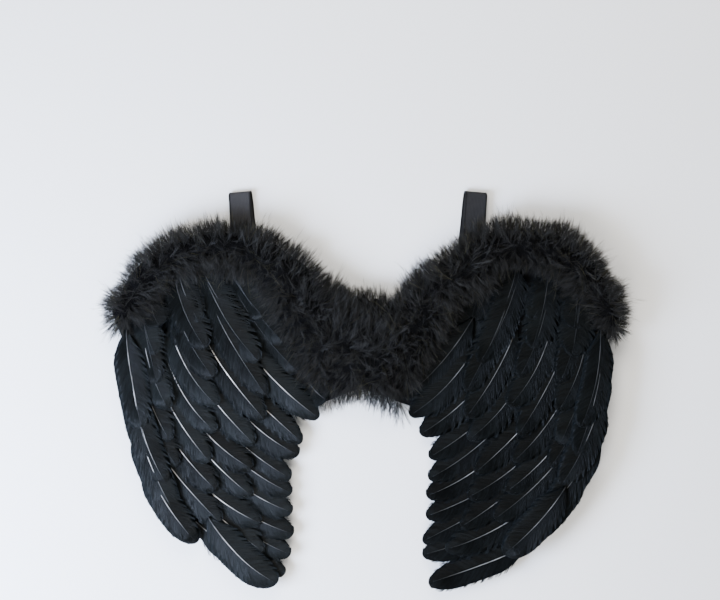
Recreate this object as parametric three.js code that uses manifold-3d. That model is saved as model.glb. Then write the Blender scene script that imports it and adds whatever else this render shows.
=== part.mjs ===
// Feathered costume wings: two panels joined at the centre, rows of overlapping feathers, a fluffy
// down trim along the top and two elastic shoulder loops. They lie on their back on a flat surface.
// Millimetres. +X is to the right of the feathered face, +Y towards the shoulder loops, +Z up.

import * as THREE from "three";
import Module from "manifold-3d";

const wasm = await Module();
wasm.setup();

// Driving sizes of the wings
const wingReach = 282; // centre line to the outer feather edge
const wingDrop = 411; // lower tip to the top of the down trim
const clearance = 0.3; // gap between pieces that touch

// Panels that carry the feathers
const panelThickness = 2;
const panelOuterMargin = 12; // feather edge to panel edge, outer side
const panelInnerMargin = 34; // feather edge to panel edge, inner side
const panelTipMargin = 46; // lower feather tip to panel end
const panelTrimShare = 0.6; // how far across the trim the panel's top edge lies
const centreGap = 3; // between the two panels
const bridgeBottom = 0.56; // lower edge of the panels at the centre line, share of wingDrop

// Plain panel that joins the two wings from behind
const joinWidth = 140;
const joinHeight = 78;
const joinThickness = 2;
const joinCorner = 8;
const joinLevel = 0.67; // its centre, share of wingDrop

// Elastic shoulder loops
const strapWidth = 25;
const strapThickness = 1.2;
const strapSpacing = 270; // between the two loops, centre to centre
const strapShift = -3; // both loops lie a little to the left
const strapRise = 44; // loop top above the down trim
const strapEye = 5.4; // free height inside the flattened loop
const strapUpperRun = 92; // loop top to the upper end, along the panel
const strapLowerRun = 268; // loop top to the lower end, along the surface
const strapEndFlat = 24; // flat end that is fixed to the panel
const strapRamp = 34; // stretch that climbs from the surface to the panel
const strapTwist = 2; // the rear run lies this far towards the centre at the loop
const strapLean = 26; // and this much further at its lower end

// Feathers
const featherLength = 119;
const featherWidth = 42;
const featherThickness = 1;
const featherCamber = 1.2; // shaft above the vane edges
const featherRoll = 2.2; // degrees that each feather leans on its neighbour
const featherSweep = 20; // degrees that a shaft bends between its ends
const tapeWidth = 8; // tape that the upper rows are sewn to
const tipWidth = 0.16; // share of the feather's width left at its very tip

// Down trim
const trimHeight = 32;
const trimOverhang = 1.4; // how far the trim hangs below the panel's front, past its edge
const trimShelf = 8; // height of the hollow over the feathers' ends
const trimPieceGap = 1.2; // between the three lengths of trim
const lockLength = 14;
const lockWidth = 19;
const lockSink = 5; // how deep a lock starts inside the trim

// Levels
const stripLow = strapThickness + strapEye; // underside of the strap's upper run
const panelBack = stripLow + strapThickness + clearance;
const panelFront = panelBack + panelThickness;
const loopTop = wingDrop + strapRise;

// Wing sections from the top down. level: height above the lower tip, share of wingDrop. inner and
// outer: feather edges from the centre line, shares of wingReach. aim: degrees below the horizontal
// that the feathers point, at each edge.
const wingSections = {
  left: [
    { level: 0.8, inner: 0.36, outer: 0.91, innerAim: 50, outerAim: 84 },
    { level: 0.67, inner: 0.225, outer: 0.98, innerAim: 49, outerAim: 84 },
    { level: 0.53, inner: 0.145, outer: 0.97, innerAim: 47, outerAim: 80 },
    { level: 0.39, inner: 0.25, outer: 0.9, innerAim: 42, outerAim: 75 },
    { level: 0.25, inner: 0.285, outer: 0.82, innerAim: 37, outerAim: 65 },
    { level: 0.13, inner: 0.275, outer: 0.69, innerAim: 34, outerAim: 54 },
    { level: 0.03, inner: 0.31, outer: 0.4, innerAim: 34, outerAim: 40 },
  ],
  right: [
    { level: 0.8, inner: 0.4, outer: 0.96, innerAim: 64, outerAim: 92 },
    { level: 0.67, inner: 0.31, outer: 0.995, innerAim: 62, outerAim: 89 },
    { level: 0.53, inner: 0.175, outer: 0.985, innerAim: 52, outerAim: 82 },
    { level: 0.39, inner: 0.275, outer: 0.93, innerAim: 43, outerAim: 73 },
    { level: 0.25, inner: 0.27, outer: 0.83, innerAim: 33, outerAim: 59 },
    { level: 0.13, inner: 0.24, outer: 0.68, innerAim: 24, outerAim: 44 },
    { level: 0.05, inner: 0.27, outer: 0.33, innerAim: 18, outerAim: 30 },
  ],
};

// Feather rows from the lowest layer up. across: 0 at the inner edge, 1 at the outer. from and to:
// levels of the first and last feather tip. long: share of featherLength. wide: of featherWidth.
// tuck: length hidden under the trim, or kept clear of it. turn: degrees added to the aim. tape:
// whether a tape joins the row.
const featherRows = [
  { name: "primaries", across: 0, from: 0.53, to: 0.04, count: 10, long: 1, wide: 1, tuck: 7, turn: 0 },
  { name: "secondaries", across: 0.28, from: 0.7, to: 0.11, count: 9, long: 1, wide: 1, tuck: 7, turn: 0 },
  { name: "lower_coverts", across: 0.54, from: 0.74, to: 0.2, count: 8, long: 0.94, wide: 1, tuck: 3, turn: 0 },
  { name: "upper_coverts", across: 0.78, from: 0.73, to: 0.34, count: 6, long: 0.84, wide: 1, tuck: -14, turn: 0, tape: true },
  { name: "edge_feathers", across: 0.9, from: 0.45, to: 0.13, count: 5, long: 0.98, wide: 0.86, tuck: -24, turn: 7, tape: true },
];

// Down trim from its outer end to the centre: the outline's two sides, in shares of wingReach (out)
// and wingDrop (up). far is the upper, outer side and near is the side over the feathers.
const trimSections = {
  left: [
    { farOut: 1.03, farUp: 0.745, nearOut: 0.92, nearUp: 0.73 },
    { farOut: 1.0, farUp: 0.815, nearOut: 0.865, nearUp: 0.79 },
    { farOut: 0.94, farUp: 0.89, nearOut: 0.81, nearUp: 0.84 },
    { farOut: 0.845, farUp: 0.95, nearOut: 0.74, nearUp: 0.875 },
    { farOut: 0.72, farUp: 0.99, nearOut: 0.655, nearUp: 0.9 },
    { farOut: 0.58, farUp: 1.01, nearOut: 0.575, nearUp: 0.905 },
    { farOut: 0.44, farUp: 1.0, nearOut: 0.49, nearUp: 0.89 },
    { farOut: 0.31, farUp: 0.97, nearOut: 0.415, nearUp: 0.85 },
    { farOut: 0.205, farUp: 0.925, nearOut: 0.36, nearUp: 0.785 },
    { farOut: 0.13, farUp: 0.875, nearOut: 0.29, nearUp: 0.685 },
    { farOut: 0.08, farUp: 0.835, nearOut: 0.18, nearUp: 0.56 },
  ],
  right: [
    { farOut: 1.07, farUp: 0.725, nearOut: 0.98, nearUp: 0.71 },
    { farOut: 1.03, farUp: 0.81, nearOut: 0.93, nearUp: 0.78 },
    { farOut: 0.99, farUp: 0.88, nearOut: 0.87, nearUp: 0.835 },
    { farOut: 0.935, farUp: 0.95, nearOut: 0.81, nearUp: 0.87 },
    { farOut: 0.815, farUp: 1.0, nearOut: 0.725, nearUp: 0.885 },
    { farOut: 0.68, farUp: 1.025, nearOut: 0.63, nearUp: 0.9 },
    { farOut: 0.53, farUp: 1.015, nearOut: 0.555, nearUp: 0.885 },
    { farOut: 0.39, farUp: 0.98, nearOut: 0.485, nearUp: 0.835 },
    { farOut: 0.29, farUp: 0.925, nearOut: 0.4, nearUp: 0.795 },
    { farOut: 0.2, farUp: 0.865, nearOut: 0.31, nearUp: 0.7 },
    { farOut: 0.13, farUp: 0.825, nearOut: 0.205, nearUp: 0.565 },
  ],
};
// The centre length of trim, between the ends of the other two. out is negative on the left.
const centreTrim = [
  { farOut: -0.03, farUp: 0.84, nearOut: -0.09, nearUp: 0.515 },
  { farOut: 0.025, farUp: 0.835, nearOut: 0.0, nearUp: 0.495 },
  { farOut: 0.08, farUp: 0.825, nearOut: 0.11, nearUp: 0.51 },
];
// The trim's cross-section. across: from the near side to the far side. rise: share of trimHeight
// above the panel, and drop: share of trimOverhang below it, and shelf: share of trimShelf above it.
const trimProfile = [
  { across: 0.24, rise: 0, shelf: 0, drop: 0 },
  { across: 0.24, rise: 0, shelf: 1, drop: 0 },
  { across: 0.04, rise: 0, shelf: 1.2, drop: 0 },
  { across: 0.06, rise: 0.52, shelf: 0, drop: 0 },
  { across: 0.24, rise: 0.86, shelf: 0, drop: 0 },
  { across: 0.5, rise: 1, shelf: 0, drop: 0 },
  { across: 0.74, rise: 0.85, shelf: 0, drop: 0 },
  { across: 0.92, rise: 0.35, shelf: 0, drop: 0 },
  { across: 0.84, rise: 0, shelf: 0, drop: 1 },
  { across: 0.68, rise: 0, shelf: 0, drop: 1 },
  { across: 0.66, rise: 0, shelf: 0, drop: 0 },
];

const vec = (x, y, z = 0) => new THREE.Vector3(x, y, z);
const radians = THREE.MathUtils.degToRad;
const mix = THREE.MathUtils.lerp;
const sideSign = { left: -1, right: 1 };

// A steady scatter from -1 to 1, so that no two feathers or locks are quite alike.
function scatter(a, b) {
  const s = Math.sin(a * 12.9898 + b * 78.233) * 43758.5453;
  return 2 * (s - Math.floor(s)) - 1;
}

// A smooth curve's value at a place from 0 to the last row of a table's column.
function columnAt(rows, column, place) {
  const last = rows.length - 1;
  const i = Math.min(last - 1, Math.max(0, Math.floor(place)));
  const t = place - i;
  const v = (k) => rows[Math.min(last, Math.max(0, k))][column];
  const [p, a, b, n] = [v(i - 1), v(i), v(i + 1), v(i + 2)];
  return a + 0.5 * t * (b - p + t * (2 * p - 5 * a + 4 * b - n + t * (3 * (a - b) + n - p)));
}

// A wing section at any level, in millimetres and degrees.
function wingAt(side, level) {
  const rows = wingSections[side];
  let i = 0;
  while (i < rows.length - 2 && rows[i + 1].level > level) i += 1;
  const place = i + (rows[i].level - level) / (rows[i].level - rows[i + 1].level);
  return {
    inner: columnAt(rows, "inner", place) * wingReach,
    outer: columnAt(rows, "outer", place) * wingReach,
    innerAim: columnAt(rows, "innerAim", place),
    outerAim: columnAt(rows, "outerAim", place),
  };
}

// The two sides of a trim section, as points in plan.
function trimAt(rows, sign, place) {
  const at = (column) => columnAt(rows, column, place);
  return {
    far: vec(sign * at("farOut") * wingReach, at("farUp") * wingDrop),
    near: vec(sign * at("nearOut") * wingReach, at("nearUp") * wingDrop),
  };
}

// A closed solid from points and triangles, with its faces turned outwards.
function solidFrom(points, faces) {
  const vertProperties = Float32Array.from(points.flatMap((p) => [p.x, p.y, p.z]));
  const make = (list) =>
    new wasm.Manifold(
      new wasm.Mesh({ numProp: 3, vertProperties, triVerts: Uint32Array.from(list.flat()) }),
    );
  const made = make(faces);
  return made.volume() > 0 ? made : make(faces.map(([a, b, c]) => [a, c, b]));
}

// A solid through rings of points that all have the same count. cap lists the triangles of an end.
function loft(rings, cap) {
  const n = rings[0].length;
  const faces = [];
  for (let r = 0; r + 1 < rings.length; r += 1) {
    for (let k = 0; k < n; k += 1) {
      const [a, b] = [r * n + k, r * n + ((k + 1) % n)];
      faces.push([a, b, b + n], [a, b + n, a + n]);
    }
  }
  const end = (rings.length - 1) * n;
  for (const [a, b, c] of cap) faces.push([a, c, b], [end + a, end + b, end + c]);
  return solidFrom(rings.flat(), faces);
}

// The outer skin of a joined solid, without the pockets that its pieces enclose.
function largest(solid) {
  return solid.decompose().reduce((most, one) => (one.volume() > most.volume() ? one : most));
}

const fan = (n) => Array.from({ length: n - 2 }, (_, i) => [0, i + 1, i + 2]);

// A named mesh of a solid in its own material.
function meshOf(name, solid, material) {
  const made = solid.getMesh();
  const geometry = new THREE.BufferGeometry();
  geometry.setAttribute("position", new THREE.BufferAttribute(made.vertProperties, 3));
  geometry.setIndex(new THREE.BufferAttribute(made.triVerts, 1));
  geometry.computeVertexNormals();
  return named(name, geometry, material);
}

function named(name, geometry, material) {
  const mesh = new THREE.Mesh(geometry, material);
  mesh.name = name;
  return mesh;
}

const materials = {
  feather: new THREE.MeshStandardMaterial({ color: 0x1a1d20, roughness: 0.55 }),
  down: new THREE.MeshStandardMaterial({ color: 0x131516, roughness: 0.95 }),
  felt: new THREE.MeshStandardMaterial({ color: 0x1c1c1e, roughness: 0.95 }),
  elastic: new THREE.MeshStandardMaterial({ color: 0x3a3b40, roughness: 0.8 }),
};

// Feathers

// Half the vane's width at a share of its length, as a share of the widest half.
function vaneShare(t) {
  const grown = Math.min(1, t / 0.34);
  const body = 0.34 + 0.66 * grown * grown * (3 - 2 * grown);
  const past = Math.max(0, (t - 0.68) / 0.32);
  return Math.max(tipWidth, body * Math.sqrt(Math.max(0, 1 - past * past)));
}

// The point on a feather's curved shaft at a share of its length, from its base.
function shaftOffset(feather, t) {
  const turn = radians(featherSweep);
  const start = radians(feather.aim) + turn / 2;
  const along = (Math.sin(start) - Math.sin(start - turn * t)) / turn;
  const down = (Math.cos(start - turn * t) - Math.cos(start)) / turn;
  return vec(-feather.sign * feather.length * along, -feather.length * down);
}

// A frame on the shaft: its point, and the direction across it that points down the wing.
function shaftAt(feather, t) {
  const heading = radians(feather.aim + featherSweep * (0.5 - t));
  return {
    point: feather.base.clone().add(shaftOffset(feather, t)),
    across: vec(feather.sign * Math.sin(heading), -Math.cos(heading)),
    half: (feather.width / 2) * vaneShare(t),
  };
}

// Height of the vane's underside over the shaft's, at a place across from -1 to 1: the edge that
// points down the wing is a little raised.
function vaneRise(across, half) {
  return across * half * Math.sin(radians(featherRoll));
}

// Thickness of the vane at a place across: the most at its shaft.
function vaneThickness(across) {
  return featherThickness + featherCamber * (1 - Math.abs(across));
}

const cross = (p, q) => p.x * q.y - p.y * q.x;

// Length left behind a tip before a shaft that points this way reaches the trim's near side.
function roomBehind(side, tip, aim, longest, tuck) {
  const sign = sideSign[side];
  const back = vec(sign * Math.cos(radians(aim)), Math.sin(radians(aim)));
  const rows = trimSections[side];
  let room = longest;
  for (let k = 0; k + 1 < rows.length; k += 1) {
    const a = trimAt(rows, sign, k).near.sub(tip);
    const b = trimAt(rows, sign, k + 1).near.sub(tip);
    const span = b.clone().sub(a);
    const share = cross(a, back) / cross(back, span);
    const reach = cross(a, span) / cross(back, span);
    if (share >= 0 && share <= 1 && reach > 0) room = Math.min(room, reach + tuck);
  }
  return room;
}

// The feathers of one row, laid out from its table row.
function layRow(side, row, rowIndex) {
  const laid = [];
  for (let i = 0; i < row.count; i += 1) {
    const seed = i + 20 * rowIndex + (side === "left" ? 0 : 200);
    const level = mix(row.from, row.to, i / (row.count - 1)) + 0.006 * scatter(seed, 1);
    const wing = wingAt(side, level);
    const across = row.across + 0.015 * scatter(seed, 2) * (row.across > 0 ? 1 : 0.6);
    const tip = vec(sideSign[side] * mix(wing.inner, wing.outer, across), level * wingDrop);
    const aim = mix(wing.innerAim, wing.outerAim, across) + row.turn + 2.5 * scatter(seed, 3);
    const longest = featherLength * row.long * (1 + 0.04 * scatter(seed, 4));
    const length = roomBehind(side, tip, aim + featherSweep / 4, longest, row.tuck);
    const width = featherWidth * row.wide * (1 + 0.05 * scatter(seed, 5));
    const feather = { sign: sideSign[side], aim, length, width };
    feather.base = tip.clone().sub(shaftOffset(feather, 1));
    laid.push(feather);
  }
  return laid;
}

// Heights above the panel of what already lies there, kept on a square grid.
const pileCell = 2;
const pileKey = (x, y) => Math.round(x / pileCell) * 4096 + Math.round(y / pileCell);

function pileHeight(pile, point) {
  let top = 0;
  for (const dx of [-pileCell, 0, pileCell]) {
    for (const dy of [-pileCell, 0, pileCell]) {
      top = Math.max(top, pile.get(pileKey(point.x + dx, point.y + dy)) ?? 0);
    }
  }
  return top;
}

const acrossSteps = [-1, -0.75, -0.5, -0.25, 0, 0.25, 0.5, 0.75, 1];
const alongSteps = 48;

// Calls back for points all over a feather's vane.
function overVane(feather, visit) {
  for (let j = 0; j <= alongSteps; j += 1) {
    const t = j / alongSteps;
    const { point, across, half } = shaftAt(feather, t);
    for (const a of acrossSteps) {
      visit(t, a, half, point.clone().addScaledVector(across, a * half));
    }
  }
}

const stations = [0, 0.2, 0.44, 0.72, 0.91, 1];

// Heights of a feather's shaft at its stations, so that it lies on the pile beneath it.
function restOn(pile, feather) {
  const need = new Array(alongSteps + 1).fill(-Infinity);
  overVane(feather, (t, a, half, place) => {
    const j = Math.round(t * alongSteps);
    const under = pileHeight(pile, place) + clearance - vaneRise(a, half);
    need[j] = Math.max(need[j], under);
  });
  feather.heights = stations.map((_, k) => {
    const first = Math.floor((stations[k - 1] ?? 0) * alongSteps);
    const last = Math.ceil((stations[k + 1] ?? 1) * alongSteps);
    return Math.max(...need.slice(first, last + 1));
  });
}

function heightAt(feather, t) {
  let k = 0;
  while (k < stations.length - 2 && stations[k + 1] < t) k += 1;
  const share = (t - stations[k]) / (stations[k + 1] - stations[k]);
  return mix(feather.heights[k], feather.heights[k + 1], share);
}

// Adds a feather's top surface to the pile.
function pileUp(pile, feather) {
  overVane(feather, (t, a, half, place) => {
    const top = heightAt(feather, t) + vaneRise(a, half) + vaneThickness(a);
    const key = pileKey(place.x, place.y);
    pile.set(key, Math.max(pile.get(key) ?? 0, top));
  });
}

// One feather: a thin arched vane with its shaft as the ridge.
function featherSolid(feather) {
  const rings = stations.map((t, k) => {
    const { point, across, half } = shaftAt(feather, t);
    const at = (a, up) => {
      const z = panelFront + feather.heights[k] + vaneRise(a, half) + up;
      return point.clone().addScaledVector(across, a * half).setZ(z);
    };
    return [
      at(-1, 0),
      at(1, 0),
      at(1, vaneThickness(1)),
      at(0, vaneThickness(0)),
      at(-1, vaneThickness(-1)),
    ];
  });
  return loft(rings, [
    [0, 1, 2],
    [0, 2, 3],
    [0, 3, 4],
  ]);
}

// A tape that runs under the pile's shape from one feather's base to the next and joins a row.
function tapeSolid(pile, feathers) {
  const knots = feathers.map((feather) => {
    const { point } = shaftAt(feather, 0.06);
    return point.setZ(heightAt(feather, 0.06));
  });
  const spine = [];
  knots.forEach((knot, i) => {
    spine.push(knot);
    const next = knots[i + 1];
    if (!next) return;
    let need = Math.min(knot.z, next.z);
    for (let k = 0; k <= 20; k += 1) {
      need = Math.max(need, pileHeight(pile, knot.clone().lerp(next, k / 20)) + clearance);
    }
    spine.push(knot.clone().lerp(next, 0.5).setZ(need + 0.4));
  });
  const rings = spine.map((place, i) => {
    const ahead = spine[Math.min(i + 1, spine.length - 1)];
    const behind = spine[Math.max(i - 1, 0)];
    const along = ahead.clone().sub(behind).setZ(0).normalize();
    const across = vec(-along.y, along.x);
    return [
      [-1, 0],
      [1, 0],
      [1, 1],
      [-1, 1],
    ].map(([a, up]) => {
      const z = panelFront + place.z + up * featherThickness;
      return place.clone().addScaledVector(across, (a * tapeWidth) / 2).setZ(z);
    });
  });
  return loft(rings, fan(4));
}

function featherMeshes(side) {
  const pile = new Map();
  return featherRows.map((row, rowIndex) => {
    const feathers = layRow(side, row, rowIndex);
    for (const feather of feathers) restOn(pile, feather);
    const solids = feathers.map(featherSolid);
    if (row.tape) solids.push(tapeSolid(pile, feathers));
    for (const feather of feathers) pileUp(pile, feather);
    const solid = largest(solids.reduce((all, one) => all.add(one)));
    return meshOf(`${side}_${row.name}`, solid, materials.feather);
  });
}

// Panels

// The outline of one wing's panel, clear of the feather edges and hidden under the trim.
function panelOutline(side) {
  const sign = sideSign[side];
  const rows = trimSections[side];
  const top = rows.map((_, k) => {
    const { far, near } = trimAt(rows, sign, k);
    return near.lerp(far, panelTrimShare);
  });
  const middle = trimAt(centreTrim, 1, 1);
  const centreTop = mix(middle.near.y, middle.far.y, panelTrimShare);
  const tipLevel = panelTipMargin / wingDrop;
  const innerLevels = [0.48, 0.39, 0.3, 0.21, tipLevel];
  const outerLevels = [tipLevel, 0.21, 0.3, 0.39, 0.48, 0.57, 0.66];
  const inner = innerLevels.map((level) =>
    vec(sign * (wingAt(side, level).inner + panelInnerMargin), level * wingDrop),
  );
  const outer = outerLevels.map((level) =>
    vec(sign * (wingAt(side, level).outer - panelOuterMargin), level * wingDrop),
  );
  return [
    ...top,
    vec((sign * centreGap) / 2, centreTop),
    vec((sign * centreGap) / 2, bridgeBottom * wingDrop),
    ...inner,
    ...outer,
  ];
}

function wingPanel(side) {
  const shape = new THREE.Shape(panelOutline(side));
  const geometry = new THREE.ExtrudeGeometry(shape, { depth: panelThickness, bevelEnabled: false });
  const mesh = named(`${side}_panel`, geometry, materials.felt);
  mesh.position.z = panelBack;
  return mesh;
}

function joiningPanel() {
  const [w, h, r] = [joinWidth / 2, joinHeight / 2, joinCorner];
  const shape = new THREE.Shape();
  shape.absarc(w - r, h - r, r, 0, Math.PI / 2);
  shape.absarc(r - w, h - r, r, Math.PI / 2, Math.PI);
  shape.absarc(r - w, r - h, r, Math.PI, 1.5 * Math.PI);
  shape.absarc(w - r, r - h, r, 1.5 * Math.PI, 2 * Math.PI);
  const geometry = new THREE.ExtrudeGeometry(shape, {
    depth: joinThickness,
    bevelEnabled: false,
    curveSegments: 3,
  });
  const mesh = named("joining_panel", geometry, materials.felt);
  mesh.position.set(0, joinLevel * wingDrop, panelBack - clearance - joinThickness);
  return mesh;
}

// Elastic shoulder loops

// The strap's centre line: across (towards the centre), along (from the loop top down) and up.
function strapPath() {
  const upper = stripLow + strapThickness / 2;
  const lower = strapThickness / 2;
  const bend = (upper - lower) / 2;
  const bendSteps = 6;
  const rampSteps = 6;
  const path = [{ inward: strapTwist * 0.6, along: strapUpperRun, up: upper, tilt: 0 }];
  for (let i = 0; i <= bendSteps; i += 1) {
    const turn = (Math.PI * i) / bendSteps;
    path.push({
      inward: (strapTwist * i) / bendSteps,
      along: bend * (1 - Math.sin(turn)) + strapThickness / 2,
      up: lower + bend + bend * Math.cos(turn),
      tilt: turn,
    });
  }
  const rampTop = strapLowerRun - strapEndFlat;
  const rampFoot = rampTop - strapRamp;
  for (let i = 0; i <= rampSteps; i += 1) {
    const share = i / rampSteps;
    const along = rampFoot + share * strapRamp;
    const climb = (6 * share * (1 - share) * (upper - lower)) / strapRamp;
    path.push({
      inward: strapTwist + (strapLean * along) / strapLowerRun,
      along,
      up: mix(lower, upper, share * share * (3 - 2 * share)),
      tilt: Math.PI - Math.atan(climb),
    });
  }
  path.push({ inward: strapTwist + strapLean, along: strapLowerRun, up: upper, tilt: Math.PI });
  return path;
}

function shoulderStrap(side) {
  const sign = sideSign[side];
  const rings = strapPath().map(({ inward, along, up, tilt }) => {
    const x = strapShift + sign * (strapSpacing / 2 - inward);
    const [ny, nz] = [Math.sin(tilt), Math.cos(tilt)];
    return [
      [-1, -1],
      [1, -1],
      [1, 1],
      [-1, 1],
    ].map(([a, b]) =>
      vec(
        x + (a * strapWidth) / 2,
        loopTop - along + (b * ny * strapThickness) / 2,
        up + (b * nz * strapThickness) / 2,
      ),
    );
  });
  return meshOf(`${side}_shoulder_strap`, loft(rings, fan(4)), materials.elastic);
}

// Down trim

const ringsPerSection = 1.5;

// A ring of the trim's cross-section at a place along its table, a little fuller or slimmer at
// random.
function trimRing(rows, sign, place, seed) {
  const { far, near } = trimAt(rows, sign, place);
  const swell = 1 + 0.07 * scatter(seed, 7);
  return trimProfile.map(({ across, rise, shelf, drop }) => {
    const up = rise * trimHeight * swell + shelf * trimShelf - drop * trimOverhang;
    const out = across > 0.7 ? across * (1 + 0.05 * scatter(seed, 8)) : across;
    return near.clone().lerp(far, out).setZ(panelFront + clearance + up);
  });
}

// A tapered lock of down that starts inside the trim at a place along, across and up it.
function lock(rows, sign, place, out, rise, seed) {
  const { far, near } = trimAt(rows, sign, place);
  const across = far.clone().sub(near).normalize();
  const along = vec(-across.y, across.x);
  const root = near.clone().lerp(far, out);
  root.z = panelFront + clearance + rise * trimHeight;
  const outward = out > 0.5 ? 1 : -1;
  const heading = across
    .clone()
    .multiplyScalar(outward * (out > 0.8 || out < 0.2 ? 1 : 0.5))
    .addScaledVector(along, 0.55 * scatter(seed, 11))
    .setZ(0.15 + 0.9 * (rise - 0.3) + 0.15 * scatter(seed, 12))
    .normalize();
  const foot = root.clone().addScaledVector(heading, -lockSink);
  const tip = root.clone().addScaledVector(heading, lockLength * (0.85 + 0.2 * scatter(seed, 13)));
  const sideways = heading.clone().cross(vec(0, 0, 1)).normalize();
  const upward = sideways.clone().cross(heading);
  const half = lockWidth / 2;
  const points = [
    foot.clone().addScaledVector(sideways, -half),
    foot.clone().addScaledVector(upward, half * 0.8),
    foot.clone().addScaledVector(sideways, half),
    foot.clone().addScaledVector(upward, -half * 0.8),
    tip,
  ];
  return solidFrom(points, [
    [0, 1, 2],
    [0, 2, 3],
    [0, 4, 1],
    [1, 4, 2],
    [2, 4, 3],
    [3, 4, 0],
  ]);
}

// Where locks stand round the trim. every: locks for each section of the table.
const lockRows = [
  { out: 0.86, rise: 0.3, every: 1.5 },
  { out: 0.8, rise: 0.66, every: 0.6 },
  { out: 0.36, rise: 0.9, every: 0.6 },
  { out: 0.12, rise: 0.5, every: 0.9 },
];

// Cuts a length of trim flush with its section at one end, so that no lock reaches the next length.
function cutAtSection(solid, rows, sign, end, inside) {
  const { far, near } = trimAt(rows, sign, end);
  const across = far.clone().sub(near).normalize();
  const normal = vec(-across.y, across.x);
  const within = trimAt(rows, sign, inside).near.sub(near);
  if (normal.dot(within) < 0) normal.negate();
  return solid.trimByPlane([normal.x, normal.y, 0], normal.dot(near));
}

function trimLength(name, rows, sign, first, last) {
  const steps = Math.round((last - first) * ringsPerSection);
  const nameSeed = name.length * 3;
  const rings = [];
  for (let i = 0; i <= steps; i += 1) {
    rings.push(trimRing(rows, sign, mix(first, last, i / steps), i + nameSeed));
  }
  const section = trimProfile.map((p) => {
    const up = p.rise * trimHeight + p.shelf * trimShelf - p.drop * trimOverhang;
    return new THREE.Vector2(p.across * trimHeight, up);
  });
  const cap = THREE.ShapeUtils.triangulateShape(section, []);
  let solid = loft(
    rings,
    cap.map((face) => [...face].sort((a, b) => a - b)),
  );
  lockRows.forEach(({ out, rise, every }, rowIndex) => {
    const count = Math.round((last - first) * every);
    for (let i = 0; i < count; i += 1) {
      const place = mix(first, last, (i + 0.5) / count);
      solid = solid.add(lock(rows, sign, place, out, rise, i + 31 * rowIndex + nameSeed));
    }
  });
  solid = cutAtSection(solid, rows, sign, last, last - 1);
  if (name.startsWith("centre")) solid = cutAtSection(solid, rows, sign, first, first + 1);
  return meshOf(name, solid, materials.down);
}

function trimMeshes() {
  const lastLeft = trimSections.left.length - 1;
  const lastRight = trimSections.right.length - 1;
  const inset = trimPieceGap / wingReach;
  const shifted = (row, by) => ({
    ...row,
    farOut: row.farOut + by,
    nearOut: row.nearOut + by,
  });
  const leftEnd = trimSections.left[lastLeft];
  const mirrored = { ...leftEnd, farOut: -leftEnd.farOut, nearOut: -leftEnd.nearOut };
  const centreRows = [
    shifted(mirrored, inset),
    ...centreTrim,
    shifted(trimSections.right[lastRight], -inset),
  ];
  return [
    trimLength("left_down_trim", trimSections.left, -1, 0, lastLeft),
    trimLength("centre_down_trim", centreRows, 1, 0, centreRows.length - 1),
    trimLength("right_down_trim", trimSections.right, 1, 0, lastRight),
  ];
}

const wings = new THREE.Group();
wings.add(
  wingPanel("left"),
  wingPanel("right"),
  joiningPanel(),
  shoulderStrap("left"),
  shoulderStrap("right"),
  ...featherMeshes("left"),
  ...featherMeshes("right"),
  ...trimMeshes(),
);

// The origin is on the surface, under the middle of the whole.
const whole = new THREE.Box3().setFromObject(wings);
const middle = whole.getCenter(vec(0, 0));
wings.position.set(-middle.x, -middle.y, -whole.min.z);

export default wings;
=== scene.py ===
"""Black feathered costume wings lying on their back on a pale floor, seen from straight above.

Order: light and camera, tables shared with the solids, laying out, finishes, feathers, down trim,
shoulder loops, panels. Lengths in tables and names are millimetres. Every mesh is made in metres.
"""

import math

import bpy
import numpy as np
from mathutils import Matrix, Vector


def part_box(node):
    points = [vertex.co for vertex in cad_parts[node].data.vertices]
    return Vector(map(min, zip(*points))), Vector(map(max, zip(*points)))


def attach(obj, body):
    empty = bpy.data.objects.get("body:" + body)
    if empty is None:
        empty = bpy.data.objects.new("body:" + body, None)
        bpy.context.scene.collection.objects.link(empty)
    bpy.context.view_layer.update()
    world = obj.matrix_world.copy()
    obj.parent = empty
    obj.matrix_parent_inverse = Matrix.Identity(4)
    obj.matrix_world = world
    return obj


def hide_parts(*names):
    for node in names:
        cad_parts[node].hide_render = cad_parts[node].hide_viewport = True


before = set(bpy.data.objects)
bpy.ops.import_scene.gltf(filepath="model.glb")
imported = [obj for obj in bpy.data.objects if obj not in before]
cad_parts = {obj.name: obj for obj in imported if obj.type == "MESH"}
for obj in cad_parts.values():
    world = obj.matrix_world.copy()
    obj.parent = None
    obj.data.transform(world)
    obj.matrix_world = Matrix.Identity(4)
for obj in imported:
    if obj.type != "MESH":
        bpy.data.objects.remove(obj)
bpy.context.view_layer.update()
scene = bpy.context.scene
MM = 0.001


# Light, camera and floor

def linear(hex_colour):
    """An sRGB hex colour such as "#1a1d20" as linear RGBA."""
    parts = [int(hex_colour[i : i + 2], 16) / 255 for i in (1, 3, 5)]
    return [p / 12.92 if p <= 0.04045 else ((p + 0.055) / 1.055) ** 2.4 for p in parts] + [1.0]


def wire(tree, node, sockets):
    """Links or sets a node's inputs, by name, by number or in order.

    A node given as a value stands for its first output.
    """
    for key, value in sockets.items() if isinstance(sockets, dict) else enumerate(sockets):
        if isinstance(value, bpy.types.Node):
            value = value.outputs[0]
        if isinstance(value, bpy.types.NodeSocket):
            tree.links.new(value, node.inputs[key])
        else:
            node.inputs[key].default_value = value


def put(tree, kind, sockets=(), **settings):
    """Adds a node with its settings and links."""
    node = tree.nodes.new(kind)
    for name, value in settings.items():
        setattr(node, name, value)
    wire(tree, node, sockets)
    return node


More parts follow.
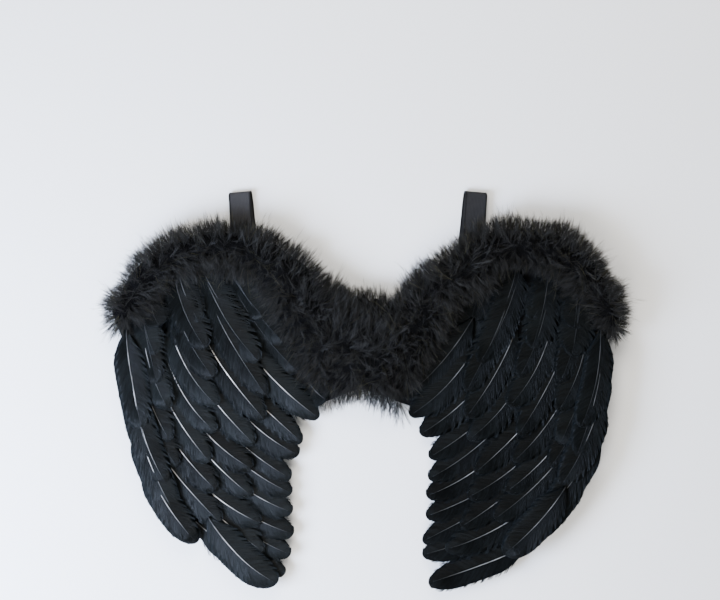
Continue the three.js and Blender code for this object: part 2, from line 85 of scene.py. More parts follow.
def soft_light(name, place, size, watts, colour):
    """A square soft box that points at the middle of the wings."""
    data = bpy.data.lights.new(name, "AREA")
    data.size = size
    data.energy = watts
    data.color = linear(colour)[:3]
    lamp = bpy.data.objects.new(name, data)
    lamp.location = place
    lamp.rotation_euler = (Vector((0, 0, 0.02)) - Vector(place)).to_track_quat("-Z", "Y").to_euler()
    scene.collection.objects.link(lamp)


# The photo is taken from straight above, its frame reaching past the loops.
frame_width = 0.817
focal_length = 100
sensor_width = 36
camera_data = bpy.data.cameras.new("camera")
camera_data.lens = focal_length
camera_data.sensor_width = sensor_width
camera = bpy.data.objects.new("camera", camera_data)
camera.location = (-0.0044, 0.1021, 0.015 + frame_width * focal_length / sensor_width)
scene.collection.objects.link(camera)
scene.camera = camera

world = bpy.data.worlds.new("pale_room")
world.use_nodes = True
sky = world.node_tree.nodes["Background"]
wire(world.node_tree, sky, {"Color": linear("#f6f7f5"), "Strength": 0.5})
scene.world = world
soft_light("window", (-0.84, -0.34, 0.64), 0.6, 60, "#d0e0ff")
soft_light("fill", (-0.1, 1.5, 1.6), 1.2, 46, "#fffaf2")
soft_light("front", (-0.3, -1.35, 1.5), 1.2, 38, "#fff9f0")

floor_mesh = bpy.data.meshes.new("floor")
floor_mesh.from_pydata([(-6, -6, 0), (6, -6, 0), (6, 6, 0), (-6, 6, 0)], [], [(0, 1, 2, 3)])
floor = bpy.data.objects.new("floor", floor_mesh)
scene.collection.objects.link(floor)
floor_paint = bpy.data.materials.new("floor_paper")
floor_paint.use_nodes = True
paper = floor_paint.node_tree.nodes["Principled BSDF"]
wire(floor_paint.node_tree, paper, {"Base Color": linear("#f4f4f4"), "Roughness": 0.9})
floor_mesh.materials.append(floor_paint)


# Tables shared with the solids

WING_REACH = 282
WING_DROP = 411
CLEARANCE = 0.3
STRAP_WIDTH = 25
STRAP_THICK = 1.2
STRAP_SPACING = 270
STRAP_SHIFT = -3
STRAP_RISE = 44
STRAP_EYE = 5.4
STRAP_UPPER_RUN = 92
STRAP_LOWER_RUN = 268
STRAP_END_FLAT = 24
STRAP_RAMP = 34
STRAP_TWIST = 2
STRAP_LEAN = 26
STRAP_UPPER_LEAN = 5
PANEL_THICK = 2
PANEL_OUTER_MARGIN = 12
PANEL_INNER_MARGIN = 34
PANEL_TIP_MARGIN = 46
PANEL_TRIM_SHARE = 0.6
CENTRE_GAP = 3
BRIDGE_BOTTOM = 0.56
JOIN_WIDTH = 140
JOIN_HEIGHT = 78
JOIN_THICK = 2
JOIN_CORNER = 8
JOIN_LEVEL = 0.67
FEATHER_LENGTH = 119
FEATHER_WIDTH = 42
FEATHER_THICK = 1
FEATHER_CAMBER = 1.2
FEATHER_ROLL = 2.2
FEATHER_SWEEP = 20
TRIM_HEIGHT = 32
TRIM_OVERHANG = 1.4
TRIM_SHELF = 8
TRIM_PIECE_GAP = 1.2

STRIP_LOW = STRAP_THICK + STRAP_EYE
PANEL_BACK = STRIP_LOW + STRAP_THICK + CLEARANCE
PANEL_FRONT = PANEL_BACK + PANEL_THICK
LOOP_TOP = WING_DROP + STRAP_RISE

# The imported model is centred, so the tables' own zero is found from a loop's box.
loop_low, loop_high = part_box("left_shoulder_strap")
SHIFT_X = loop_low[0] / MM - (STRAP_SHIFT - STRAP_SPACING / 2 - STRAP_WIDTH / 2)
SHIFT_Y = loop_high[1] / MM - LOOP_TOP

SIGN = {"left": -1, "right": 1}

# level, inner edge, outer edge, inner aim, outer aim
WING_SECTIONS = {
    "left": [
        (0.8, 0.36, 0.91, 50, 84),
        (0.67, 0.225, 0.98, 49, 84),
        (0.53, 0.145, 0.97, 47, 80),
        (0.39, 0.25, 0.9, 42, 75),
        (0.25, 0.285, 0.82, 37, 65),
        (0.13, 0.275, 0.69, 34, 54),
        (0.03, 0.31, 0.4, 34, 40),
    ],
    "right": [
        (0.8, 0.4, 0.96, 64, 92),
        (0.67, 0.31, 0.995, 62, 89),
        (0.53, 0.175, 0.985, 52, 82),
        (0.39, 0.275, 0.93, 43, 73),
        (0.25, 0.27, 0.83, 33, 59),
        (0.13, 0.24, 0.68, 24, 44),
        (0.05, 0.27, 0.33, 18, 30),
    ],
}
# name, across, first level, last level, count, length, width, tuck, turn
SHOULDER_ROW = ("shoulder_feathers", 0.1, 0.76, 0.6, 3, 1.0, 1.15, 10, 0)
TIP_ROWS = {
    "left": ("tip_feather", 0.5, 0.01, 0.01, 1, 0.9, 0.95, 0, 13),
    "right": ("tip_feather", 0.98, 0.105, 0.105, 1, 0.85, 0.9, 0, 10),
}
FEATHER_ROWS = [
    ("primaries", 0, 0.53, 0.04, 10, 1, 1, 7, 0),
    ("secondaries", 0.28, 0.7, 0.11, 9, 1, 1, 7, 0),
    ("lower_coverts", 0.54, 0.74, 0.2, 8, 0.94, 1, 3, 0),
    ("upper_coverts", 0.78, 0.73, 0.34, 6, 0.84, 1, -5, 0),
    ("edge_feathers", 0.9, 0.45, 0.13, 5, 0.98, 0.86, -8, 7),
]
# How much of the pale quill shows through the dye, row by row.
QUILL_PALE = {
    "tip_feather": 0.5,
    "shoulder_feathers": 0.14,
    "primaries": 0.85,
    "secondaries": 1.0,
    "lower_coverts": 0.75,
    "upper_coverts": 0.3,
    "edge_feathers": 0.4,
}
# The right wing is painted darker than the left: painted shade, as the light falls from the left.
PAINTED_WING_SHADE = {"left": 1.0, "right": 0.2}
# far out, far up, near out, near up
TRIM_SECTIONS = {
    "left": [
        (1.03, 0.745, 0.92, 0.73),
        (1.0, 0.815, 0.865, 0.79),
        (0.94, 0.89, 0.81, 0.84),
        (0.845, 0.95, 0.74, 0.875),
        (0.72, 0.99, 0.655, 0.9),
        (0.58, 1.01, 0.575, 0.905),
        (0.44, 1.0, 0.49, 0.89),
        (0.31, 0.97, 0.415, 0.85),
        (0.205, 0.925, 0.36, 0.785),
        (0.13, 0.875, 0.29, 0.685),
        (0.08, 0.835, 0.18, 0.56),
    ],
    "right": [
        (1.07, 0.725, 0.98, 0.71),
        (1.03, 0.81, 0.93, 0.78),
        (0.99, 0.88, 0.87, 0.835),
        (0.935, 0.95, 0.81, 0.87),
        (0.815, 1.0, 0.725, 0.885),
        (0.68, 1.025, 0.63, 0.9),
        (0.53, 1.015, 0.555, 0.885),
        (0.39, 0.98, 0.485, 0.835),
        (0.29, 0.925, 0.4, 0.795),
        (0.2, 0.865, 0.31, 0.7),
        (0.13, 0.825, 0.205, 0.565),
    ],
}
CENTRE_TRIM = [
    (-0.03, 0.84, -0.09, 0.515),
    (0.025, 0.835, 0.0, 0.495),
    (0.08, 0.825, 0.11, 0.51),
]


# Laying out, as the solids are laid out

def scatter(a, b):
    """A steady value from -1 to 1 for a pair of numbers."""
    s = math.sin(a * 12.9898 + b * 78.233) * 43758.5453
    return 2 * (s - math.floor(s)) - 1


def mix(a, b, t):
    return a + (b - a) * t


def smooth(t):
    t = min(1, max(0, t))
    return t * t * (3 - 2 * t)


def row_at(rows, place):
    """A smooth curve's values at a place from 0 to the last row of a table."""
    last = len(rows) - 1
    i = min(last - 1, max(0, math.floor(place)))
    t = place - i
    p, a, b, n = (np.array(rows[min(last, max(0, k))], float) for k in (i - 1, i, i + 1, i + 2))
    return a + 0.5 * t * (b - p + t * (2 * p - 5 * a + 4 * b - n + t * (3 * (a - b) + n - p)))


def wing_at(side, level):
    rows = WING_SECTIONS[side]
    i = 0
    while i < len(rows) - 2 and rows[i + 1][0] > level:
        i += 1
    place = i + (rows[i][0] - level) / (rows[i][0] - rows[i + 1][0])
    _, inner, outer, inner_aim, outer_aim = row_at(rows, place)
    return inner * WING_REACH, outer * WING_REACH, inner_aim, outer_aim


def trim_at(rows, sign, place):
    """The far and near side of the trim, in plan."""
    far_out, far_up, near_out, near_up = row_at(rows, place)
    far = np.array([sign * far_out * WING_REACH, far_up * WING_DROP])
    near = np.array([sign * near_out * WING_REACH, near_up * WING_DROP])
    return far, near


def shaft_offset(feather, t):
    """From the base to the point on the curved shaft at a share of its length."""
    turn = math.radians(FEATHER_SWEEP)
    start = math.radians(feather["aim"]) + turn / 2
    along = (math.sin(start) - math.sin(start - turn * t)) / turn
    down = (math.cos(start - turn * t) - math.cos(start)) / turn
    return np.array([-feather["sign"] * feather["length"] * along, -feather["length"] * down])


def vane_share(t, tip=0.16):
    grown = min(1, t / 0.34)
    body = 0.4 + 0.6 * grown * grown * (3 - 2 * grown)
    past = max(0, (t - 0.68) / 0.32)
    return max(tip, body * math.sqrt(max(0, 1 - past * past)))


def shaft_at(feather, t, tip=0.16):
    """The shaft's point, the way across it that points down the wing, and half the vane's width."""
    heading = math.radians(feather["aim"] + FEATHER_SWEEP * (0.5 - t))
    point = feather["base"] + shaft_offset(feather, t)
    across = np.array([feather["sign"] * math.sin(heading), -math.cos(heading)])
    return point, across, feather["width"] / 2 * vane_share(t, tip)


def room_behind(side, tip, aim, longest, tuck):
    """Length left behind a tip before the shaft reaches the trim's near side."""
    sign = SIGN[side]
    back = np.array([sign * math.cos(math.radians(aim)), math.sin(math.radians(aim))])
    rows = TRIM_SECTIONS[side]
    room = longest

    def cross(p, q):
        return p[0] * q[1] - p[1] * q[0]

    for k in range(len(rows) - 1):
        a = trim_at(rows, sign, k)[1] - tip
        span = trim_at(rows, sign, k + 1)[1] - tip - a
        share = cross(a, back) / cross(back, span)
        reach = cross(a, span) / cross(back, span)
        if 0 <= share <= 1 and reach > 0:
            room = min(room, reach + tuck)
    return room


def lay_row(side, row, row_index):
    """The feathers of one row."""
    row_name, row_across, first, last, count, long, wide, tuck, turn = row
    laid = []
    for i in range(count):
        seed = i + 20 * row_index + (0 if side == "left" else 200)
        level = mix(first, last, i / max(1, count - 1)) + 0.006 * scatter(seed, 1)
        inner, outer, inner_aim, outer_aim = wing_at(side, level)
        across = row_across + 0.015 * scatter(seed, 2) * (1 if row_across > 0 else 0.6)
        tip = np.array([SIGN[side] * mix(inner, outer, across), level * WING_DROP])
        aim = mix(inner_aim, outer_aim, across) + turn + 2.5 * scatter(seed, 3)
        longest = FEATHER_LENGTH * long * (1 + 0.04 * scatter(seed, 4))
        length = room_behind(side, tip, aim + FEATHER_SWEEP / 4, longest, tuck)
        width = FEATHER_WIDTH * wide * (1 + 0.05 * scatter(seed, 5))
        feather = {"sign": SIGN[side], "aim": aim, "length": length, "width": width, "seed": seed}
        feather["base"] = tip - shaft_offset(feather, 1)
        feather["side"] = side
        feather["pointed"] = 0 if row_name == "tip_feather" else 0.13
        feather["pale"] = QUILL_PALE[row_name] * mix(1, 0.06, smooth((level - 0.42) / 0.16))
        laid.append(feather)
    return laid


# Quills stand a little higher than the solids' vanes, so the layers lie further apart here.
LAYER_GAP = 0.65
PILE_CELL = 2
ACROSS_STEPS = [-1, -0.75, -0.5, -0.25, 0, 0.25, 0.5, 0.75, 1]
ALONG_STEPS = 48
STATIONS = [0, 0.2, 0.44, 0.72, 0.91, 1]
ROLL = math.sin(math.radians(FEATHER_ROLL))


def pile_cell(point):
    return math.floor(point[0] / PILE_CELL + 0.5), math.floor(point[1] / PILE_CELL + 0.5)


def over_vane(feather):
    """Points all over a vane: step along, share across, half width, place."""
    for j in range(ALONG_STEPS + 1):
        point, across, half = shaft_at(feather, j / ALONG_STEPS)
        for a in ACROSS_STEPS:
            yield j, a, half, point + across * (a * half)


def rest_on(pile, feather):
    """Heights of a feather's shaft at its stations, so that it lies on the pile beneath it."""
    need = [-1e9] * (ALONG_STEPS + 1)
    for j, a, half, place in over_vane(feather):
        x, y = pile_cell(place)
        under = max(pile.get((x + i, y + k), 0) for i in (-1, 0, 1) for k in (-1, 0, 1))
        need[j] = max(need[j], under + LAYER_GAP - a * half * ROLL)
    feather["heights"] = []
    for k in range(len(STATIONS)):
        first = math.floor(STATIONS[max(0, k - 1)] * ALONG_STEPS)
        last = math.ceil(STATIONS[min(len(STATIONS) - 1, k + 1)] * ALONG_STEPS)
        feather["heights"].append(max(need[first : last + 1]))


def height_at(feather, t):
    return float(np.interp(t, STATIONS, feather["heights"]))


def pile_up(pile, feather):
    for j, a, half, place in over_vane(feather):
        thick = FEATHER_THICK + FEATHER_CAMBER * (1 - abs(a))
        top = height_at(feather, j / ALONG_STEPS) + a * half * ROLL + thick
        key = pile_cell(place)
        pile[key] = max(pile.get(key, 0), top)


# Making pieces

def placed(x, y, up):
    """From the tables' millimetres to the scene's metres."""
    return (x + SHIFT_X) * MM, (y + SHIFT_Y) * MM, up * MM


def new_mesh(name, places, edges, faces, numbers=None, vectors=None):
    """A mesh with numbers and flat lists of vectors stored at its points."""
    mesh = bpy.data.meshes.new(name)
    mesh.from_pydata(places, edges, faces)
    for label, values in (numbers or {}).items():
        mesh.attributes.new(label, "FLOAT", "POINT").data.foreach_set("value", values)
    for label, values in (vectors or {}).items():
        mesh.attributes.new(label, "FLOAT_VECTOR", "POINT").data.foreach_set("vector", values)
    return mesh


def tube_faces(rings, count):
    """The faces of a tube of rings with a count of points each, closed at both ends."""
    faces = []
    for i in range(rings - 1):
        for k in range(count):
            a, b = i * count + k, i * count + (k + 1) % count
            faces.append((a, b, b + count, a + count))
    faces.append(tuple(reversed(range(count))))
    faces.append(tuple(range((rings - 1) * count, rings * count)))
    return faces


def face_outwards(mesh):
    top = max(mesh.polygons, key=lambda p: p.center[2])
    if top.normal[2] < 0:
        mesh.flip_normals()


def mesh_object(name, mesh):
    piece = bpy.data.objects.new(name, mesh)
    scene.collection.objects.link(piece)
    return piece


def finished(piece, material_slot, *nodes):
    """Rides with the wings and stands for its solids. The slot it is given is not used."""
    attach(piece, "root")
    if nodes:
        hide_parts(*nodes)
    return piece


def new_tree(name, inputs):
    """A geometry tree with a geometry input and the named inputs, ready for its nodes."""
    tree = bpy.data.node_groups.new(name, "GeometryNodeTree")
    tree.interface.new_socket("Geometry", in_out="INPUT", socket_type="NodeSocketGeometry")
    tree.interface.new_socket("Geometry", in_out="OUTPUT", socket_type="NodeSocketGeometry")
    for label, kind in inputs.items():
        tree.interface.new_socket(label, in_out="INPUT", socket_type="NodeSocket" + kind)
    return tree, put(tree, "NodeGroupInput").outputs


def grow(name, mesh, tree, values):
    """Runs a tree on a mesh and keeps the result as one plain mesh object."""
    seed = mesh_object(name + "_start", mesh)
    modifier = seed.modifiers.new("grow", "NODES")
    modifier.node_group = tree
    for item in tree.interface.items_tree:
        if item.in_out == "INPUT" and item.name in values:
            modifier[item.identifier] = values[item.name]
    graph = bpy.context.evaluated_depsgraph_get()
    made = bpy.data.meshes.new_from_object(
        seed.evaluated_get(graph), preserve_all_data_layers=True, depsgraph=graph
    )
    seed.modifiers.remove(modifier)
    bpy.data.objects.remove(seed)
    made.name = name
    return mesh_object(name, made)


# Kinds of node that come up often

# Sockets go by number where their names repeat. Map Range takes the value, from low and high, to low
# and high. A colour Mix takes the factor at 0 and its colours at 6 and 7, and gives output 2. Random
# Value takes low and high at 2 and 3, its ID at 7 and its seed at 8, and gives output 1.
MATH = "ShaderNodeMath"
VECTOR_MATH = "ShaderNodeVectorMath"
MIX = "ShaderNodeMix"
MAP_RANGE = "ShaderNodeMapRange"
NOISE = "ShaderNodeTexNoise"
SPLIT = "ShaderNodeSeparateXYZ"
JOIN = "ShaderNodeCombineXYZ"
PLACE = "GeometryNodeInputPosition"
NUMBER = "GeometryNodeInputIndex"
MOVE = "GeometryNodeSetPosition"
NAMED = "GeometryNodeInputNamedAttribute"
STORE = "GeometryNodeStoreNamedAttribute"
RANDOM = "FunctionNodeRandomValue"
INSTANCE = "GeometryNodeInstanceOnPoints"
REALIZE = "GeometryNodeRealizeInstances"
GATHER = "GeometryNodeJoinGeometry"
SET_MATERIAL = "GeometryNodeSetMaterial"
CLAMP = "ShaderNodeClamp"
BUMP = "ShaderNodeBump"
ATTRIBUTE = "ShaderNodeAttribute"


# Finishes

def new_finish(name, colour, roughness):
    material = bpy.data.materials.new(name)
    material.use_nodes = True
    tree = material.node_tree
    shader = tree.nodes["Principled BSDF"]
    wire(tree, shader, {"Base Color": linear(colour), "Roughness": roughness})
    return material, tree, shader


def goose_vane(name, shine):
    """Dyed goose feather: near black keratin with a soft cool shine, streaked by its barbs."""
    material, tree, shader = new_finish(name, "#101215", 0.5)
    labels = ("along", "across", "tone_and_shade", "strand", "clump")
    traits = [put(tree, ATTRIBUTE, attribute_name=label).outputs["Fac"] for label in labels]
    along, across, tone_and_shade, strand, clump = traits
    across = put(tree, MATH, (across,), operation="ABSOLUTE")
    # Barbs are 0.5 mm apart on the real vane, drawn 1.1 mm apart so that they show.
    run = put(tree, MATH, (across, -0.2, along), operation="MULTIPLY_ADD")
    stripe = put(tree, MATH, (run, FEATHER_LENGTH / 1.1 * 2 * math.pi), operation="MULTIPLY")
    stripe = put(tree, MATH, (stripe,), operation="SINE")
    spots = put(tree, "ShaderNodeTexCoord").outputs["Object"]
    cloud = put(tree, NOISE, {"Vector": spots, "Scale": 34, "Detail": 3})
    mottle = put(tree, MATH, (strand, 0.45), operation="MULTIPLY")
    mottle = put(tree, MATH, (cloud, 0.6, mottle), operation="MULTIPLY_ADD")
    mottle = put(tree, MATH, (clump, 0.45, mottle), operation="MULTIPLY_ADD")
    mottle = put(tree, MATH, (mottle, 0.68), operation="SUBTRACT")
    # Each feather's tone carries its wing's painted shade, so the right wing comes out darker.
    mottle = put(tree, MATH, (tone_and_shade, 0.65, mottle), operation="MULTIPLY_ADD")
    mottle = put(tree, CLAMP, (mottle,))
    body = {0: mottle, 6: linear("#040505"), 7: linear("#101314")}
    body = put(tree, MIX, body, data_type="RGBA").outputs[2]
    # The vane is painted paler and bluer towards its edges: painted light, as if it came through the
    # thin barbs.
    painted_through_light = put(tree, MATH, (across, 6), operation="POWER")
    painted_through_light = put(tree, MATH, (painted_through_light, 0.5), operation="MULTIPLY")
    rim = put(tree, MIX, {0: painted_through_light, 6: body, 7: linear("#1b2024")}, data_type="RGBA").outputs[2]
    rough = put(tree, MATH, (cloud, 0.2, 0.24), operation="MULTIPLY_ADD")
    bump = put(tree, BUMP, {"Strength": 0.35, "Distance": 0.4 * MM, "Height": stripe})
    wire(tree, shader, {"Base Color": rim, "Roughness": rough, "Normal": bump})
    wire(tree, shader, {"Specular IOR Level": shine})
    return material


def goose_quill():
    """Goose quill: pale horn where the dye didn't take, dyed dark towards the tip, glossy."""
    material, tree, shader = new_finish("dyed_goose_quill", "#8d8f92", 0.3)
    labels = ("along", "pale")
    along, pale = [put(tree, ATTRIBUTE, attribute_name=label).outputs["Fac"] for label in labels]
    fade = put(tree, MAP_RANGE, (along, 0.44, 0.96, 1.0, 0.0))
    fade = put(tree, MATH, (fade, 1.5), operation="POWER")
    root = put(tree, MAP_RANGE, (along, 0.08, 0.28, 0.1, 1.0))
    fade = put(tree, MATH, (fade, root), operation="MULTIPLY")
    pale = put(tree, MATH, (fade, pale), operation="MULTIPLY")
    spots = put(tree, "ShaderNodeTexCoord").outputs["Object"]
    patch = put(tree, NOISE, {"Vector": spots, "Scale": 60, "Detail": 2})
    patch = put(tree, MAP_RANGE, (patch, 0.35, 0.6, 0.4, 1.0))
    pale = put(tree, MATH, (pale, patch), operation="MULTIPLY")
    horn = {0: pale, 6: linear("#101214"), 7: linear("#f2f2f1")}
    wire(tree, shader, {"Base Color": put(tree, MIX, horn, data_type="RGBA").outputs[2]})
    wire(tree, shader, {"IOR": 1.54, "Specular IOR Level": 0.12})
    return material


def marabou_down(name, painted_tip_light, through_share, through_colour):
    """Marabou down: fine matte black filaments, browner where the light comes through them."""
    material, tree, shader = new_finish(name, "#0e0f11", 0.7)
    labels = ("strand", "tuft", "reach")
    traits = [put(tree, ATTRIBUTE, attribute_name=label).outputs["Fac"] for label in labels]
    strand, tuft, reach = traits
    level = put(tree, MATH, (strand, 0.6, -0.34), operation="MULTIPLY_ADD")
    level = put(tree, MATH, (tuft, 0.55, level), operation="MULTIPLY_ADD")
    # Filaments are painted lighter out to their tips and darker at their roots: painted light and shade.
    level = put(tree, MATH, (reach, 0.3, level), operation="MULTIPLY_ADD")
    level = put(tree, CLAMP, (level,))
    body = {0: level, 6: linear("#020202"), 7: linear("#313132")}
    body = put(tree, MIX, body, data_type="RGBA").outputs[2]
    # The tips of some tufts are painted in the tip colour: painted light, as if it came through them.
    painted_through_light = put(tree, MATH, (reach, 2), operation="POWER")
    painted_through_light = put(tree, MATH, (painted_through_light, tuft), operation="MULTIPLY")
    painted_through_light = put(tree, MATH, (painted_through_light, 0.6), operation="MULTIPLY")
    tips = put(tree, MIX, {0: painted_through_light, 6: body, 7: linear(painted_tip_light)}, data_type="RGBA").outputs[2]
    wire(tree, shader, {"Base Color": tips, "Specular IOR Level": 0.12})
    through = put(tree, "ShaderNodeBsdfTranslucent", {"Color": linear(through_colour)})
    mixed = put(tree, "ShaderNodeMixShader", (through_share, shader, through))
    wire(tree, tree.nodes["Material Output"], {"Surface": mixed})
    return material


def marabou_core():
    """The boa's dense middle: the same down packed close, painted almost black as painted shade for the
    deep inside of the fluff.
    """
    material, tree, shader = new_finish("packed_down_painted_shade", "#08090a", 0.95)
    spots = put(tree, "ShaderNodeTexCoord").outputs["Object"]
    fuzz = put(tree, NOISE, {"Vector": spots, "Scale": 900, "Detail": 4})
    body = {0: fuzz, 6: linear("#020202"), 7: linear("#070708")}
    body = put(tree, MIX, body, data_type="RGBA").outputs[2]
    bump = put(tree, BUMP, {"Strength": 0.8, "Distance": 1 * MM, "Height": fuzz})
    wire(tree, shader, {"Base Color": body, "Normal": bump, "Specular IOR Level": 0.05})
    return material


def woven_elastic():
    """Woven polyester elastic: crosswise ribs over rubber cords, charcoal, dull."""
    material, tree, shader = new_finish("woven_polyester_elastic", "#34363b", 0.72)
    uv = put(tree, "ShaderNodeUVMap", uv_map="run")
    across, along, _ = put(tree, SPLIT, (uv,)).outputs
    # The map is in metres: ribs 1.3 mm apart along the loop, cords 1.6 mm apart across it.
    ribs = put(tree, MATH, (along, 2 * math.pi / (1.3 * MM)), operation="MULTIPLY")
    ribs = put(tree, MATH, (ribs,), operation="SINE")
    cords = put(tree, MATH, (across, 2 * math.pi / (1.6 * MM)), operation="MULTIPLY")
    cords = put(tree, MATH, (cords,), operation="SINE")
    weave = put(tree, MATH, (cords, 0.35, ribs), operation="MULTIPLY_ADD")
    spots = put(tree, "ShaderNodeTexCoord").outputs["Object"]
    lint = put(tree, NOISE, {"Vector": spots, "Scale": 1400, "Detail": 3})
    level = put(tree, MATH, (lint, 0.6, 0.15), operation="MULTIPLY_ADD")
    level = put(tree, MATH, (weave, 0.16, level), operation="MULTIPLY_ADD")
    # The loop's tone is its painted shade: the right loop is painted darker.
    tone_and_shade = put(tree, ATTRIBUTE, attribute_name="tone_and_shade").outputs["Fac"]
    level = put(tree, MATH, (level, tone_and_shade), operation="MULTIPLY")
    level = put(tree, CLAMP, (level,))
    # The selvedges are painted darker: painted shade along the loop's edges.
    edge = put(tree, MATH, (across,), operation="ABSOLUTE")
    painted_edge_shade = put(tree, MAP_RANGE, (edge, 9.8 * MM, 11.2 * MM, 1.0, 0.2))
    level = put(tree, MATH, (level, painted_edge_shade), operation="MULTIPLY")
    body = {0: level, 6: linear("#0a0a0a"), 7: linear("#49484a")}
    body = put(tree, MIX, body, data_type="RGBA").outputs[2]
    bump = put(tree, BUMP, {"Strength": 0.6, "Distance": 0.3 * MM, "Height": weave})
    wire(tree, shader, {"Base Color": body, "Normal": bump, "Specular IOR Level": 0.1})
    return material


def needle_felt():
    """Needled felt over card: matte black with fine tangled fibres and a little lint."""
    material, tree, shader = new_finish("needled_felt", "#17181a", 0.95)
    spots = put(tree, "ShaderNodeTexCoord").outputs["Object"]
    fibre = put(tree, NOISE, {"Vector": spots, "Scale": 1100, "Detail": 5, "Distortion": 1.5})
    patch = put(tree, NOISE, {"Vector": spots, "Scale": 18, "Detail": 2})
    level = put(tree, MATH, (patch, 0.5, -0.3), operation="MULTIPLY_ADD")
    level = put(tree, MATH, (fibre, 0.8, level), operation="MULTIPLY_ADD")
    level = put(tree, CLAMP, (level,))
    body = {0: level, 6: linear("#040405"), 7: linear("#121315")}
    body = put(tree, MIX, body, data_type="RGBA").outputs[2]
    bump = put(tree, BUMP, {"Strength": 0.7, "Distance": 0.5 * MM, "Height": fibre})
    wire(tree, shader, {"Base Color": body, "Normal": bump})
    wire(tree, shader, {"Sheen Weight": 0.02, "Specular IOR Level": 0.06})
    return material


def sewing_thread():
    """Spun polyester thread, black, a little shinier than the felt."""
    material, tree, shader = new_finish("spun_polyester_thread", "#26282c", 0.55)
    spots = put(tree, "ShaderNodeTexCoord").outputs["Object"]
    ply = put(tree, NOISE, {"Vector": spots, "Scale": 2500, "Detail": 1})
    body = {0: ply, 6: linear("#17181b"), 7: linear("#3c3f45")}
    wire(tree, shader, {"Base Color": put(tree, MIX, body, data_type="RGBA").outputs[2]})
    return material


# The right wing's vane is a shaded copy with less shine: painted shade, as the light falls from the
# left.
VANE = {
    "left": goose_vane("dyed_goose_vane", 0.065),
    "right": goose_vane("shaded_copy_goose_vane", 0.038),
}
QUILL = goose_quill()
# The second colour is painted light at the down's tips; the last two give the real light through it.
DOWN = marabou_down("dyed_marabou_down", "#3e3d38", 0.12, "#55534a")
THIN_DOWN = marabou_down("thin_marabou_down", "#5b5846", 0.4, "#7d7859")
CORE = marabou_core()
ELASTIC = woven_elastic()
FELT = needle_felt()
THREAD = sewing_thread()


# Feathers

SHAFT_POINTS = 40
# The points of a shaft and a vane crowd towards the tip by this power.
TIP_CROWDING = 1.9
# Shares of the shaft between which barbs grow, and the clumps that they cling in.
FIRST_BARB = 0.03
LAST_BARB = 0.985
CLUMPS = 13.0


def shaft_lines(name, feathers):
    """One line for each shaft, with the vane's half width and the way across it at each point."""
    places, edges, halves, ways, tones_and_shades, pales = [], [], [], [], [], []
    for feather in feathers:
        # Each feather's tone differs at random, times its wing's painted shade.
        tone_and_shade = PAINTED_WING_SHADE[feather["side"]] * (0.5 + 0.5 * scatter(feather["seed"], 21))
        pale = feather["pale"] * (1 + 0.5 * scatter(feather["seed"], 22))
        # The right wing's quills are painted darker too: painted shade.
        pale *= PAINTED_WING_SHADE[feather["side"]] ** 0.9
        # The points crowd towards the tip, where the vane rounds off.
        shares = [1 - (1 - k / (SHAFT_POINTS - 1)) ** TIP_CROWDING for k in range(SHAFT_POINTS)]
        heights = [height_at(feather, t) for t in shares]
        for _ in range(3):
            middle = [(a + 2 * b + c) / 4 for a, b, c in zip(heights, heights[1:], heights[2:])]
            heights = [heights[0], *middle, heights[-1]]
        lift = 1.5 + scatter(feather["seed"], 23)
        sway = 6.0 * scatter(feather["seed"], 24)
        pointed = feather["pointed"] * (1 + scatter(feather["seed"], 25))
        for k, t in enumerate(shares):
            point, across, half = shaft_at(feather, t, 0.01)
            # Narrow at its root, pointed from 0.62 of its length on, and its end sways aside.
            half *= 0.35 + 0.65 * smooth(t / 0.12)
            half *= 1 - pointed * max(0, (t - 0.62) / 0.38) ** 1.6
            point = point + across * (sway * max(0, t - 0.4) ** 2 / 0.36)
            up = PANEL_FRONT + heights[k] + 0.2 + lift * smooth((t - 0.7) / 0.3)
            places.append(placed(*point, up))
            halves.append(half * MM)
            ways.extend((across[0], across[1], 0))
            tones_and_shades.append(tone_and_shade)
            pales.append(pale)
            if k:
                edges.append((len(places) - 2, len(places) - 1))
    numbers = {"half": halves, "tone_and_shade": tones_and_shades, "pale": pales}
    return new_mesh(name, places, edges, [], numbers, {"way": ways})


